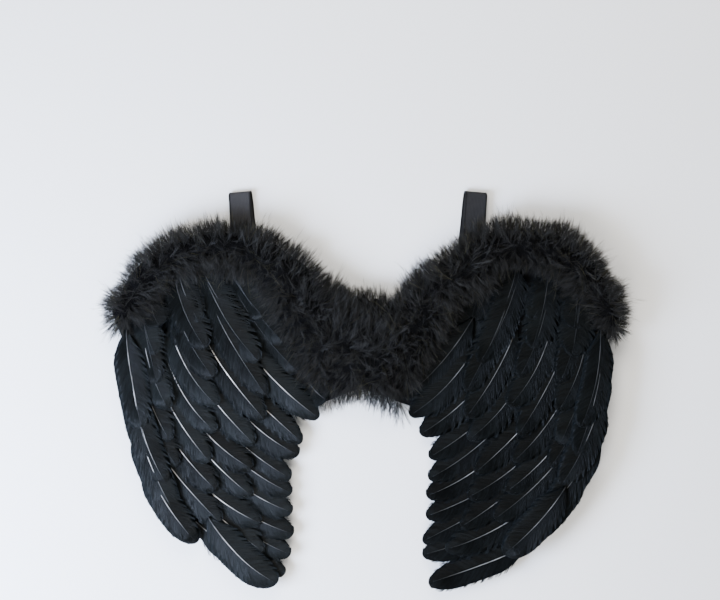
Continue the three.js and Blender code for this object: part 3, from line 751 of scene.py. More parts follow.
def feather_tree():
    """Makes one feather flat, in shares of its length and half width, and lays it on each shaft."""
    inputs = {
        "Feathers": "Int",
        "Barbs": "Int",
        "Barb slant": "Float",
        "Barb ridge": "Float",
        "Vane width": "Float",
        "Vane thickness": "Float",
        "Camber": "Float",
        "Raggedness": "Float",
        "Quill base": "Float",
        "Quill tip": "Float",
        "Seed": "Int",
        "Vane material": "Material",
        "Quill material": "Material",
    }
    tree, given = new_tree("feather_row", inputs)
    shafts = put(tree, "GeometryNodeMeshToCurve", (given["Geometry"],))

    # The vane: a thin lens, open nowhere, closer rings at its tip.
    sheets = []
    for is_top in (True, False):
        grid = put(
            tree, "GeometryNodeMeshGrid", {"Size X": 1, "Size Y": 2, "Vertices X": 34, "Vertices Y": 7}
        )
        x, y, _ = put(tree, SPLIT, (put(tree, PLACE),)).outputs
        rest = put(tree, MATH, (0.5, x), operation="SUBTRACT")
        s = put(tree, MATH, (rest, TIP_CROWDING), operation="POWER")
        s = put(tree, MATH, (1, s), operation="SUBTRACT")
        hollow = put(tree, MATH, (y, y), operation="MULTIPLY")
        hollow = put(tree, MATH, (1, hollow), operation="SUBTRACT")
        ends = put(tree, MATH, (x, 2), operation="MULTIPLY")
        ends = put(tree, MATH, (ends,), operation="ABSOLUTE")
        ends = put(tree, MATH, (ends, 12), operation="POWER")
        thick = put(tree, MATH, (1, ends), operation="SUBTRACT")
        thick = put(tree, MATH, (hollow, thick), operation="MULTIPLY")
        thick = put(tree, MATH, (thick, given["Vane thickness"]), operation="MULTIPLY")
        z = thick if is_top else 0.0
        sheet = put(tree, MATH, (y, given["Vane width"]), operation="MULTIPLY")
        sheet = put(tree, JOIN, (s, sheet, z))
        sheet = put(tree, MOVE, {0: grid, "Position": sheet})
        if not is_top:
            sheet = put(tree, "GeometryNodeFlipFaces", (sheet,))
        sheets.append(sheet)
    both = put(tree, GATHER)
    for sheet in sheets:
        wire(tree, both, {0: sheet})
    vane = put(tree, "GeometryNodeMergeByDistance", {0: both, "Distance": 0.000001})
    vane = put(tree, STORE, {0: vane, "Name": "kind", "Value": 0.0})

    # One barb: a low ridge that runs forward as it goes out.
    ridge = put(
        tree, "GeometryNodeMeshGrid", {"Size X": 2, "Size Y": 1, "Vertices X": 3, "Vertices Y": 4}
    )
    x, y, _ = put(tree, SPLIT, (put(tree, PLACE),)).outputs
    out = put(tree, MATH, (y, 0.5), operation="ADD")
    ridge = put(tree, STORE, {0: ridge, "Name": "out", "Value": out})
    ridge = put(tree, STORE, {0: ridge, "Name": "beside", "Value": x})
    sides = put(tree, GATHER)
    for turn in (1, -1):
        line = put(
            tree,
            "GeometryNodeMeshLine",
            {"Count": given["Barbs"], "Start Location": (FIRST_BARB, 0, 0), "Offset": (LAST_BARB, 0, 0)},
            mode="END_POINTS",
        )
        roots, _, _ = put(tree, SPLIT, (put(tree, PLACE),)).outputs
        line = put(tree, STORE, {0: line, "Name": "root", "Value": roots})
        number = put(tree, NUMBER)
        amount = put(tree, MATH, (number, 500 if turn > 0 else 0), operation="ADD")
        line = put(tree, STORE, {0: line, "Name": "barb", "Value": amount})
        line = put(tree, STORE, {0: line, "Name": "turn", "Value": float(turn)})
        copies = put(tree, INSTANCE, {"Points": line, "Instance": ridge})
        real = put(tree, REALIZE, (copies,))
        if turn < 0:
            real = put(tree, "GeometryNodeFlipFaces", (real,))
        wire(tree, sides, {0: real})
    barbs = put(tree, STORE, {0: sides, "Name": "kind", "Value": 1.0})

    # The quill: a tapered round shaft on top of the vane.
    spine = put(tree, "GeometryNodeCurvePrimitiveLine", {"Start": (0, 0, 0), "End": (0.955, 0, 0)})
    spine = put(tree, "GeometryNodeResampleCurve", {"Curve": spine, "Count": 20})
    ring = put(tree, "GeometryNodeCurvePrimitiveCircle", {"Resolution": 7, "Radius": 1})
    tube = put(
        tree, "GeometryNodeCurveToMesh", {"Curve": spine, "Profile Curve": ring, "Fill Caps": True}
    )
    x, y, z = put(tree, SPLIT, (put(tree, PLACE),)).outputs
    slim = put(tree, MATH, (x, 0.8), operation="POWER")
    girth = put(tree, MIX, {0: slim, 2: given["Quill base"], 3: given["Quill tip"]})
    amount = put(tree, MATH, (y, girth), operation="MULTIPLY")
    tube = put(tree, STORE, {0: tube, "Name": "aside", "Value": amount})
    high = put(tree, MATH, (girth, 0.55), operation="MULTIPLY")
    high = put(tree, MATH, (z, girth, high), operation="MULTIPLY_ADD")
    quill = put(tree, MATH, (high, given["Vane thickness"]), operation="ADD")
    quill = put(tree, JOIN, (x, 0.0, quill))
    quill = put(tree, MOVE, {0: tube, "Position": quill})
    quill = put(tree, STORE, {0: quill, "Name": "kind", "Value": 2.0})

    # One whole feather for each shaft.
    parts = put(tree, GATHER)
    for part in (vane, barbs, quill):
        wire(tree, parts, {0: part})
    stands = put(tree, "GeometryNodePoints", {"Count": given["Feathers"]})
    number = put(tree, NUMBER)
    stands = put(tree, STORE, {0: stands, "Name": "feather", "Value": number})
    flock = put(tree, INSTANCE, {"Points": stands, "Instance": parts})
    flock = put(tree, REALIZE, (flock,))

    # Barbs cling together in clumps, so that the vane's edge splits here and there.
    labels = ("feather", "kind", "root", "out", "beside", "turn", "barb")
    feather, kind, root, out, beside, turn, barb = [
        put(tree, NAMED, {"Name": label}) for label in labels
    ]
    own = put(tree, MATH, (feather, 1000), operation="MULTIPLY")
    own = put(tree, MATH, (own, barb), operation="ADD")
    offset = put(tree, MATH, (feather, 2, turn), operation="MULTIPLY_ADD")
    offset = put(tree, RANDOM, {2: 0.0, 3: 1.0, 7: offset, 8: given["Seed"]}).outputs[1]
    phase = put(tree, MATH, (root, CLUMPS, offset), operation="MULTIPLY_ADD")
    cell = put(tree, MATH, (phase,), operation="FLOOR")
    off_centre = put(tree, MATH, (phase, cell), operation="SUBTRACT")
    off_centre = put(tree, MATH, (off_centre, 0.5), operation="SUBTRACT")
    cell_id = put(tree, MATH, (cell, 7), operation="MULTIPLY")
    term = put(tree, MATH, (feather, 131), operation="MULTIPLY")
    cell_id = put(tree, MATH, (cell_id, term), operation="ADD")
    term = put(tree, MATH, (turn, 3), operation="MULTIPLY")
    cell_id = put(tree, MATH, (cell_id, term), operation="ADD")
    cling = put(tree, RANDOM, {2: 0.1, 3: 1.0, 7: cell_id, 8: 3}).outputs[1]
    factor = put(tree, RANDOM, {2: 0.4, 3: 1.0, 7: feather, 8: 4}).outputs[1]
    cling = put(tree, MATH, (cling, factor), operation="MULTIPLY")
    pull = put(tree, MATH, (off_centre, cling), operation="MULTIPLY")
    pull = put(tree, MATH, (pull, -1 / CLUMPS), operation="MULTIPLY")
    factor = put(tree, MATH, (out, out), operation="MULTIPLY")
    pull = put(tree, MATH, (pull, factor), operation="MULTIPLY")
    left = put(tree, MATH, (1, root), operation="SUBTRACT")
    slant = put(tree, MATH, (left, 0.9), operation="MULTIPLY")
    slant = put(tree, MATH, (given["Barb slant"], slant), operation="MINIMUM")
    forward = put(tree, MATH, (out, 1.3), operation="POWER")
    forward = put(tree, MATH, (slant, forward), operation="MULTIPLY")
    taper = put(tree, MATH, (out, 3), operation="POWER")
    taper = put(tree, MATH, (taper, 0.6), operation="MULTIPLY")
    taper = put(tree, MATH, (1, taper), operation="SUBTRACT")
    broad = put(tree, MATH, (0.56, given["Barbs"]), operation="DIVIDE")
    wide = put(tree, MATH, (beside, broad), operation="MULTIPLY")
    wide = put(tree, MATH, (wide, taper), operation="MULTIPLY")
    s = put(tree, MATH, (root, forward), operation="ADD")
    term = put(tree, MATH, (wide, pull), operation="ADD")
    s = put(tree, MATH, (s, term), operation="ADD")
    s = put(tree, MATH, (s, 1.0), operation="MINIMUM")
    short = put(tree, RANDOM, {2: 0.0, 3: 0.09, 7: own, 8: 5}).outputs[1]
    term = put(tree, RANDOM, {2: 0.0, 3: 0.14, 7: cell_id, 8: 6}).outputs[1]
    short = put(tree, MATH, (short, term), operation="ADD")
    reach = put(tree, MATH, (short, given["Raggedness"]), operation="MULTIPLY")
    reach = put(tree, MATH, (1.03, reach), operation="SUBTRACT")
    a = put(tree, MATH, (out, reach), operation="MULTIPLY")
    a = put(tree, MATH, (a, turn), operation="MULTIPLY")
    crest = put(tree, MATH, (beside,), operation="ABSOLUTE")
    crest = put(tree, MATH, (1, crest), operation="SUBTRACT")
    factor = put(tree, MATH, (out, 0.5), operation="MULTIPLY")
    factor = put(tree, MATH, (1, factor), operation="SUBTRACT")
    crest = put(tree, MATH, (crest, factor), operation="MULTIPLY")
    crest = put(tree, MATH, (crest, given["Barb ridge"]), operation="MULTIPLY")
    under = put(tree, MATH, (1, out), operation="SUBTRACT")
    under = put(tree, MATH, (given["Vane thickness"], under), operation="MULTIPLY")
    h = put(tree, RANDOM, {2: 0.0, 3: 0.0002, 7: own, 8: 8}).outputs[1]
    h = put(tree, MATH, (under, h), operation="ADD")
    h = put(tree, MATH, (crest, h), operation="ADD")
    is_barb = put(tree, "FunctionNodeCompare", {0: kind, 1: 1.0, 12: 0.1}, operation="EQUAL")
    target = put(tree, JOIN, (s, a, h))
    flock = put(tree, MOVE, {0: flock, "Selection": is_barb, "Position": target})
    for label, number, seed in (("strand", own, 9), ("clump", cell_id, 10)):
        amount = put(tree, RANDOM, {2: 0.0, 3: 1.0, 7: number, 8: seed}).outputs[1]
        flock = put(tree, STORE, {0: flock, "Name": label, "Value": amount})

    # From shares of the feather to its place on the shaft.
    s, a, h = put(tree, SPLIT, (put(tree, PLACE),)).outputs

    sampled = {}
    kinds = {"half": "FLOAT", "way": "FLOAT_VECTOR", "tone_and_shade": "FLOAT", "pale": "FLOAT"}
    for label, data_type in kinds.items():
        value = put(tree, NAMED, {"Name": label}, data_type=data_type)
        sockets = {"Curves": shafts, "Value": value, "Factor": s, "Curve Index": feather}
        sampled[label] = put(
            tree, "GeometryNodeSampleCurve", sockets, mode="FACTOR", data_type=data_type
        )
    half, way, tone_and_shade, pale = sampled.values()
    spot = half.outputs["Position"]
    aside = put(tree, NAMED, {"Name": "aside"})
    aside = put(tree, MATH, (a, half, aside), operation="MULTIPLY_ADD")
    arch = put(tree, MATH, (a, a), operation="MULTIPLY")
    arch = put(tree, MATH, (1, arch), operation="SUBTRACT")
    factor = put(tree, MATH, (half, 0.018), operation="DIVIDE")
    factor = put(tree, MATH, (1, factor), operation="MINIMUM")
    arch = put(tree, MATH, (arch, factor), operation="MULTIPLY")
    up = put(tree, MATH, (arch, given["Camber"], h), operation="MULTIPLY_ADD")
    term = put(tree, MATH, (a, half), operation="MULTIPLY")
    term = put(tree, MATH, (term, ROLL), operation="MULTIPLY")
    up = put(tree, MATH, (up, term), operation="ADD")
    outward = put(tree, VECTOR_MATH, {0: way, "Scale": aside}, operation="SCALE")
    final = put(tree, VECTOR_MATH, (spot, outward), operation="ADD")
    term = put(tree, JOIN, (0.0, 0.0, up))
    final = put(tree, VECTOR_MATH, (final, term), operation="ADD")
    for label, value in (("along", s), ("across", a), ("tone_and_shade", tone_and_shade), ("pale", pale)):
        flock = put(tree, STORE, {0: flock, "Name": label, "Value": value})
    laid = put(tree, MOVE, {0: flock, "Position": final})
    laid = put(tree, "GeometryNodeSetShadeSmooth", (laid,))
    laid = put(tree, REALIZE, (laid,))
    is_quill = put(tree, "FunctionNodeCompare", {0: kind, 1: 2.0, 12: 0.1}, operation="EQUAL")
    laid = put(tree, SET_MATERIAL, {0: laid, "Material": given["Vane material"]})
    laid = put(tree, SET_MATERIAL, {0: laid, "Selection": is_quill, "Material": given["Quill material"]})
    put(tree, "NodeGroupOutput", (laid,))
    return tree


def drop_helpers(mesh, keep):
    """Leaves only the attributes that the finishes read."""
    for label in [a.name for a in mesh.attributes if not a.is_required and not a.is_internal]:
        if label not in keep and label != "material_index":
            mesh.attributes.remove(mesh.attributes[label])


FEATHER = feather_tree()
for side in ("left", "right"):
    pile = {}
    rows = [SHOULDER_ROW, *FEATHER_ROWS, TIP_ROWS[side]]
    for row_index, row in enumerate(rows, -1):
        feathers = lay_row(side, row, row_index)
        for feather in feathers:
            rest_on(pile, feather)
        for feather in feathers:
            pile_up(pile, feather)
        node = side + "_" + row[0]
        # The feathers along the wing's outer edge are the smoothest.
        is_smooth = row[0] in ("edge_feathers", "tip_feather")
        values = {
            "Feathers": len(feathers),
            "Barbs": 76,
            "Barb slant": 0.17,
            "Barb ridge": 0.3 * MM,
            "Vane width": 0.96 if is_smooth else 0.8,
            "Vane thickness": 0.5 * MM,
            "Camber": 1.1 * MM,
            "Raggedness": 0.4 if is_smooth else 1.0,
            "Quill base": 0.65 * MM,
            "Quill tip": 0.24 * MM,
            "Seed": 11 + row_index,
            "Vane material": VANE[side],
            "Quill material": QUILL,
        }
        piece = grow(node + "_vanes", shaft_lines(node + "_shafts", feathers), FEATHER, values)
        drop_helpers(piece.data, ("along", "across", "tone_and_shade", "pale", "strand", "clump"))
        if row in FEATHER_ROWS:
            finished(piece, "feather", node)
        else:
            finished(piece, "feather")


# Down trim

# across and share of the trim's height, of the hollow over the feathers and of the overhang
CORE_PROFILE = [
    (0.26, 0, 0, 0),
    (0.26, 0, 1, 0),
    (0.06, 0, 1.15, 0),
    (0.06, 0.38, 0, 0),
    (0.16, 0.6, 0, 0),
    (0.32, 0.75, 0, 0),
    (0.5, 0.8, 0, 0),
    (0.64, 0.72, 0, 0),
    (0.74, 0.52, 0, 0),
    (0.79, 0.28, 0, 0),
    (0.78, 0, 0, -0.5),
    (0.68, 0, 0, 1),
    (0.66, 0, 0, 0),
]


def core_mesh(name, rows, sign, first, last, steps, seed, free_end, near_edges, far_edges):
    """The trim's lumpy middle, closed at both ends, with the way its plumes flow at each point."""
    places, flows, shares = [], [], []
    for i in range(steps + 1):
        place = mix(first, last, i / steps)
        far, near = trim_at(rows, sign, place)
        ahead = sum(trim_at(rows, sign, min(last, place + 0.05))) / 2
        behind = sum(trim_at(rows, sign, max(first, place - 0.05))) / 2
        back = (behind - ahead) / np.linalg.norm(behind - ahead)
        out = (far - near) / np.linalg.norm(far - near)
        close = smooth(i / 3) if free_end else 1
        for k, (across, rise, shelf, drop) in enumerate(CORE_PROFILE):
            lump = 1 + 0.1 * scatter(i * 0.37 + seed, k + 2) if rise else 1
            # The dense down reaches further at the middle of the back than along the wings.
            if across < 0.3:
                near_edge = float(np.interp(place, *zip(*near_edges)))
                across = near_edge + (across - 0.06) * (0.3 - near_edge) / 0.24
            elif across > 0.5:
                far_edge = float(np.interp(place, *zip(*far_edges)))
                across = 0.5 + (across - 0.5) * (far_edge - 0.5) / 0.29
            across = 0.5 + (across - 0.5) * (0.35 + 0.65 * close)
            spot = near + (far - near) * (across * (1 + 0.04 * scatter(i, k + seed)))
            up = rise * TRIM_HEIGHT * lump * (0.55 + 0.45 * close)
            up += shelf * TRIM_SHELF - drop * TRIM_OVERHANG + PANEL_FRONT + CLEARANCE
            places.append(placed(*spot, up))
            flow = out * (across - 0.43) * 3.6 + back * (1 - close) * 1.2
            flows.extend((flow[0], flow[1], 0))
            shares.append(i / steps)
    faces = tube_faces(steps + 1, len(CORE_PROFILE))
    mesh = new_mesh(name, places, [], faces, {"place": shares}, {"flow": flows})
    face_outwards(mesh)
    mesh.materials.append(CORE)
    return mesh


# Plumes bend over from this height, within this much more, and stay off the floor.
BOW_FROM = 45
BOW_ROOM = 15
FLOOR_GAP = 0.6
PLUME_KINDS = 5


def boa_tree():
    """Plumes of fine filaments over a part of a core, each leaning its own way."""
    inputs = {
        "From": "Float",
        "To": "Float",
        "Density": "Float",
        "Filaments": "Int",
        "Plume length": "Float",
        "Filament length": "Float",
        "Filament width": "Float",
        "Spread": "Float",
        "Seed": "Int",
        "Down material": "Material",
    }
    tree, given = new_tree("down_boa", inputs)

    # One filament, one unit long: a ribbon that narrows to a point and curls a little.
    ribbon = put(
        tree, "GeometryNodeMeshGrid", {"Size X": 1, "Size Y": 1, "Vertices X": 2, "Vertices Y": 3}
    )
    x, y, _ = put(tree, SPLIT, (put(tree, PLACE),)).outputs
    t = put(tree, MATH, (y, 0.5), operation="ADD")
    slim = put(tree, MATH, (t, 1.5), operation="POWER")
    slim = put(tree, MATH, (1, slim), operation="SUBTRACT")
    ratio = put(tree, MATH, (given["Filament width"], given["Filament length"]), operation="DIVIDE")
    sideways = put(tree, MATH, (x, slim), operation="MULTIPLY")
    sideways = put(tree, MATH, (sideways, ratio), operation="MULTIPLY")
    curl = put(tree, MATH, (t, t), operation="MULTIPLY")
    curl = put(tree, MATH, (curl, -0.28), operation="MULTIPLY")
    bent = put(tree, JOIN, (curl, sideways, t))
    ribbon = put(tree, STORE, {0: ribbon, "Name": "reach", "Value": t})
    ribbon = put(tree, MOVE, {"Geometry": ribbon, "Position": bent})
    ribbon = put(tree, "GeometryNodeMergeByDistance", {0: ribbon, "Distance": 0.0001})

    # Plumes that differ in their seed: a bent spine with filaments all along it.
    kinds = put(tree, GATHER)
    for kind in range(PLUME_KINDS):
        line = put(
            tree,
            "GeometryNodeMeshLine",
            {"Count": given["Filaments"], "Start Location": (0, 0, 0), "Offset": (0, 0, 1)},
            mode="END_POINTS",
        )
        _, _, u = put(tree, SPLIT, (put(tree, PLACE),)).outputs
        bend = put(tree, MATH, (u, u), operation="MULTIPLY")
        bend = put(tree, MATH, (bend, 0.12 + 0.07 * kind), operation="MULTIPLY")
        sway = put(tree, MATH, (u, 4), operation="MULTIPLY")
        sway = put(tree, MATH, (sway,), operation="SINE")
        sway = put(tree, MATH, (sway, 0.04), operation="MULTIPLY")
        rise = put(tree, MATH, (u, 0.95, -0.2), operation="MULTIPLY_ADD")
        spine = put(tree, JOIN, (bend, sway, rise))
        spine = put(tree, VECTOR_MATH, {0: spine, "Scale": given["Plume length"]}, operation="SCALE")
        line = put(tree, MOVE, {"Geometry": line, "Position": spine})
        number = put(tree, NUMBER)
        share = put(tree, MATH, (number, given["Filaments"]), operation="DIVIDE")
        round_it = put(tree, RANDOM, {2: 0.0, 3: 2 * math.pi, 7: number, 8: 40 + kind}).outputs[1]
        tilt = put(tree, RANDOM, {2: 0.25, 3: 0.95, 7: number, 8: 50 + kind}).outputs[1]
        factor = put(tree, MATH, (share, 0.6), operation="MULTIPLY")
        factor = put(tree, MATH, (1.1, factor), operation="SUBTRACT")
        tilt = put(tree, MATH, (tilt, factor), operation="MULTIPLY")
        turned = put(tree, JOIN, (0.0, tilt, round_it))
        turned = put(tree, "FunctionNodeEulerToRotation", (turned,))
        size = put(tree, MATH, (share, 0.45), operation="MULTIPLY")
        size = put(tree, MATH, (1.05, size), operation="SUBTRACT")
        factor = put(tree, RANDOM, {2: 0.6, 3: 1.1, 7: number, 8: 60 + kind}).outputs[1]
        size = put(tree, MATH, (size, factor), operation="MULTIPLY")
        size = put(tree, MATH, (size, given["Filament length"]), operation="MULTIPLY")
        amount = put(tree, RANDOM, {2: 0.0, 3: 1.0, 7: number, 8: 70 + kind}).outputs[1]
        line = put(tree, STORE, {0: line, "Name": "strand", "Value": amount})
        tuft = put(
            tree, INSTANCE, {"Points": line, "Instance": ribbon, "Rotation": turned, "Scale": size}
        )
        tuft = put(tree, REALIZE, (tuft,))
        tuft = put(tree, "GeometryNodeGeometryToInstance", (tuft,))
        wire(tree, kinds, {0: tuft})

    # Where the plumes stand, more of them on the steep sides and none on the underside.
    core = given["Geometry"]
    facing = put(tree, SPLIT, (put(tree, "GeometryNodeInputNormal"),)).outputs[2]
    upward = put(tree, MATH, (facing, -0.35), operation="GREATER_THAN")
    place = put(tree, NAMED, {"Name": "place"})
    within = put(tree, MATH, (place, given["From"]), operation="GREATER_THAN")
    within = put(tree, MATH, (within, upward), operation="MULTIPLY")
    chosen = put(tree, MATH, (place, given["To"]), operation="LESS_THAN")
    chosen = put(tree, MATH, (chosen, within), operation="MULTIPLY")
    steep = put(tree, MATH, (facing,), operation="ABSOLUTE")
    steep = put(tree, MATH, (1, steep), operation="SUBTRACT")
    density = put(tree, MATH, (steep, 1.6, 0.8), operation="MULTIPLY_ADD")
    density = put(tree, MATH, (given["Density"], density), operation="MULTIPLY")
    spread = put(
        tree,
        "GeometryNodeDistributePointsOnFaces",
        {"Mesh": core, "Selection": chosen, "Density": density, "Seed": given["Seed"]},
    )
    number = put(tree, NUMBER)
    stands = put(tree, RANDOM, {2: 0.0, 3: 1.0, 7: number, 8: 80}).outputs[1]
    stands = put(tree, STORE, {0: spread.outputs["Points"], "Name": "tuft", "Value": stands})
    # Neighbours lean alike, so that the down lies in tufts.
    spot = put(tree, PLACE)
    swirl = put(tree, NOISE, {"Vector": spot, "Scale": 30, "Detail": 1}).outputs["Color"]
    swirl = put(tree, VECTOR_MATH, (swirl, (0.5, 0.5, 0.5)), operation="SUBTRACT")
    swirl = put(tree, VECTOR_MATH, {0: swirl, "Scale": 2.4}, operation="SCALE")
    spin = put(tree, RANDOM, {2: 0.0, 3: 2 * math.pi, 7: number, 8: 81}).outputs[1]
    side_x = put(tree, MATH, (spin,), operation="COSINE")
    side_x = put(tree, MATH, (side_x, given["Spread"]), operation="MULTIPLY")
    side_y = put(tree, MATH, (spin,), operation="SINE")
    side_y = put(tree, MATH, (side_y, given["Spread"]), operation="MULTIPLY")
    heading = put(tree, VECTOR_MATH, {0: spread.outputs["Normal"], "Scale": 0.55}, operation="SCALE")
    lean = put(tree, JOIN, (side_x, side_y, 0.12))
    flow = put(tree, NAMED, {"Name": "flow"}, data_type="FLOAT_VECTOR")
    for push in (swirl, lean, flow):
        heading = put(tree, VECTOR_MATH, (heading, push), operation="ADD")
    heading = put(tree, VECTOR_MATH, (heading, (1, 1, 0.42)), operation="MULTIPLY")
    aimed = put(tree, "FunctionNodeAlignRotationToVector", {"Vector": heading}, axis="Z")
    twist = put(tree, RANDOM, {2: 0.0, 3: 2 * math.pi, 7: number, 8: 82}).outputs[1]
    twist = put(tree, JOIN, (0.0, 0.0, twist))
    twist = put(tree, "FunctionNodeEulerToRotation", (twist,))
    aimed = put(
        tree,
        "FunctionNodeRotateRotation",
        {"Rotation": aimed, "Rotate By": twist},
        rotation_space="LOCAL",
    )
    patch = put(tree, NOISE, {"Vector": spot, "Scale": 26, "Detail": 2})
    grown = put(tree, MAP_RANGE, (patch, 0.35, 0.68, 0.72, 1.45))
    pick = put(tree, RANDOM, {4: 0, 5: PLUME_KINDS - 1, 8: 83}, data_type="INT")
    plumes = put(tree, RANDOM, {2: 0.75, 3: 1.25, 7: number, 8: 84}).outputs[1]
    plumes = put(tree, MATH, (plumes, grown), operation="MULTIPLY")
    plumes = put(
        tree,
        INSTANCE,
        {
            "Points": stands,
            "Instance": kinds,
            "Pick Instance": True,
            "Instance Index": pick.outputs[2],
            "Rotation": aimed,
            "Scale": plumes,
        },
    )
    plumes = put(tree, REALIZE, (plumes,))
    # Nothing dips into the floor, and the tallest tips bend over.
    place = put(tree, PLACE)
    x, y, z = put(tree, SPLIT, (place,)).outputs
    over = put(tree, MATH, (z, BOW_FROM * MM), operation="SUBTRACT")
    over = put(tree, MATH, (over, 0.0), operation="MAXIMUM")
    bowed = put(tree, MATH, (over, -1 / (BOW_ROOM * MM)), operation="MULTIPLY")
    bowed = put(tree, MATH, (bowed,), operation="EXPONENT")
    bowed = put(tree, MATH, (BOW_ROOM * MM, bowed), operation="MULTIPLY")
    eased = put(tree, MATH, (z, BOW_FROM * MM), operation="MINIMUM")
    term = put(tree, MATH, (BOW_ROOM * MM, bowed), operation="SUBTRACT")
    eased = put(tree, MATH, (eased, term), operation="ADD")
    kept = put(tree, MATH, (eased, FLOOR_GAP * MM), operation="MAXIMUM")
    kept = put(tree, JOIN, (x, y, kept))
    plumes = put(tree, MOVE, {"Geometry": plumes, "Position": kept})
    plumes = put(tree, SET_MATERIAL, {0: plumes, "Material": given["Down material"]})
    put(tree, "NodeGroupOutput", (plumes,))
    return tree


BOA = boa_tree()


# Plumes a square metre, filaments a plume, plume length, filament length and width in mm, and spread
DOWN_KINDS = {
    "plumes": (58000.0, 34, 14, 11.5, 0.27, 0.5),
    "wisps": (4400.0, 25, 25, 11, 0.2, 0.8),
    "fringe": (110000.0, 36, 18, 10, 0.25, 0.75),
}


def down_piece(name, kind, mesh, first, last, seed, material):
    """Grows a kind of down over the part of a mesh between two shares of its length."""
    density, filaments, plume_length, filament_length, filament_width, spread = DOWN_KINDS[kind]
    values = {
        "From": first,
        "To": last,
        "Density": density,
        "Filaments": filaments,
        "Plume length": plume_length * MM,
        "Filament length": filament_length * MM,
        "Filament width": filament_width * MM,
        "Spread": spread,
        "Seed": seed,
        "Down material": material,
    }
    piece = grow(name, mesh, BOA, values)
    drop_helpers(piece.data, ("strand", "tuft", "reach"))
    finished(piece, "down")


def trim_piece(node, rows, sign, first, last, steps, seed, free_end, near_edges, far_edges, parts):
    """A length of down trim: its core, and the plumes on it in one or more parts."""
    core = core_mesh(
        node + "_core", rows, sign, first, last, steps, seed, free_end, near_edges, far_edges
    )
    # A hair's breadth keeps each face in one part.
    hair = 0.001
    for part in range(parts):
        start = part / parts - hair
        end = (part + 1) / parts + (hair if part + 1 == parts else -hair)
        down_piece(f"{node}_plumes_{part + 1}", "plumes", core.copy(), start, end, seed + part, DOWN)
    # A few longer plumes stray out of the trim.
    down_piece(node + "_wisps", "wisps", core.copy(), -hair, 1 + hair, seed + 20, THIN_DOWN)
    middle = mesh_object(node + "_core", core)
    for face in core.polygons:
        face.use_smooth = True
    finished(middle, "down", node)


inset = TRIM_PIECE_GAP / WING_REACH
left_end, right_end = TRIM_SECTIONS["left"][-1], TRIM_SECTIONS["right"][-1]
centre_rows = [
    (inset - left_end[0], left_end[1], inset - left_end[2], left_end[3]),
    *CENTRE_TRIM,
    (right_end[0] - inset, right_end[1], right_end[2] - inset, right_end[3]),
]
wing_near = [(0, 0.06), (9, 0.06), (10, 0.05)]
wing_far = [(0, 0.81), (9, 0.82), (10, 0.85)]
middle_near = [(0, 0.05), (1, 0.1), (2, 0.2), (3, 0.1), (4, 0.05)]
middle_far = [(0, 0.84), (1, 0.91), (2, 0.93), (3, 0.9), (4, 0.84)]
trim_piece("left_down_trim", TRIM_SECTIONS["left"], -1, 0, 10, 60, 3, True, wing_near, wing_far, 2)
trim_piece("right_down_trim", TRIM_SECTIONS["right"], 1, 0, 10, 60, 5, True, wing_near, wing_far, 2)
trim_piece("centre_down_trim", centre_rows, 1, 0, 4, 20, 7, False, middle_near, middle_far, 1)


# Half the fringe's length, and the level where the panels' lower edge reaches the wings' inner edge.
FRINGE_HALF = 46
FRINGE_LEVEL = 0.48


def fringe_line():
    """A narrow band along the panels' lower edge at the middle, where a loose fringe is glued."""
    places, faces = [], []
    corner = wing_at("left", FRINGE_LEVEL)[0] + PANEL_INNER_MARGIN
    for k in range(25):
        x = mix(-FRINGE_HALF, FRINGE_HALF, k / 24)
        y = mix(BRIDGE_BOTTOM, FRINGE_LEVEL, max(0, abs(x) - CENTRE_GAP / 2) / corner) * WING_DROP
        for up in (PANEL_BACK + 0.5, PANEL_FRONT + 5):
            places.append(placed(x, y, up))
        if k:
            faces.append((2 * k - 2, 2 * k, 2 * k + 1, 2 * k - 1))
    shares, flows = [0.5] * len(places), [0, -1.2, 0] * len(places)
    return new_mesh("centre_fringe_line", places, [], faces, {"place": shares}, {"flow": flows})


down_piece("centre_fringe", "fringe", fringe_line(), 0.0, 1.0, 9, DOWN)


# Shoulder loops

def strap_path():
    """The strap's centre line: towards the centre, down from the loop top, up, and its tilt."""
    upper = STRIP_LOW + STRAP_THICK / 2
    lower = STRAP_THICK / 2
    bend = (upper - lower) / 2
    path = []
    for i in range(12):
        run = mix(STRAP_UPPER_RUN, bend + STRAP_THICK / 2 + 1, i / 12)
        path.append((STRAP_UPPER_LEAN * run / STRAP_UPPER_RUN, run, upper, 0))
    for i in range(17):
        turn = math.pi * i / 16
        path.append(
            (
                STRAP_TWIST * i / 16,
                bend * (1 - math.sin(turn)) + STRAP_THICK / 2,
                lower + bend + bend * math.cos(turn),
                turn,
            )
        )
    ramp_foot = STRAP_LOWER_RUN - STRAP_END_FLAT - STRAP_RAMP
    for i in range(1, 20):
        run = mix(bend + STRAP_THICK / 2, ramp_foot, i / 20)
        path.append((STRAP_TWIST + STRAP_LEAN * run / STRAP_LOWER_RUN, run, lower, math.pi))
    for i in range(13):
        share = i / 12
        run = ramp_foot + share * STRAP_RAMP
        climb = 6 * share * (1 - share) * (upper - lower) / STRAP_RAMP
        path.append(
            (
                STRAP_TWIST + STRAP_LEAN * run / STRAP_LOWER_RUN,
                run,
                mix(lower, upper, smooth(share)),
                math.pi - math.atan(climb),
            )
        )
    path.append((STRAP_TWIST + STRAP_LEAN, STRAP_LOWER_RUN, upper, math.pi))
    return path


# The right loop is painted darker than the left: painted shade.
PAINTED_STRAP_SHADE = {-1: 1.0, 1: 0.45}
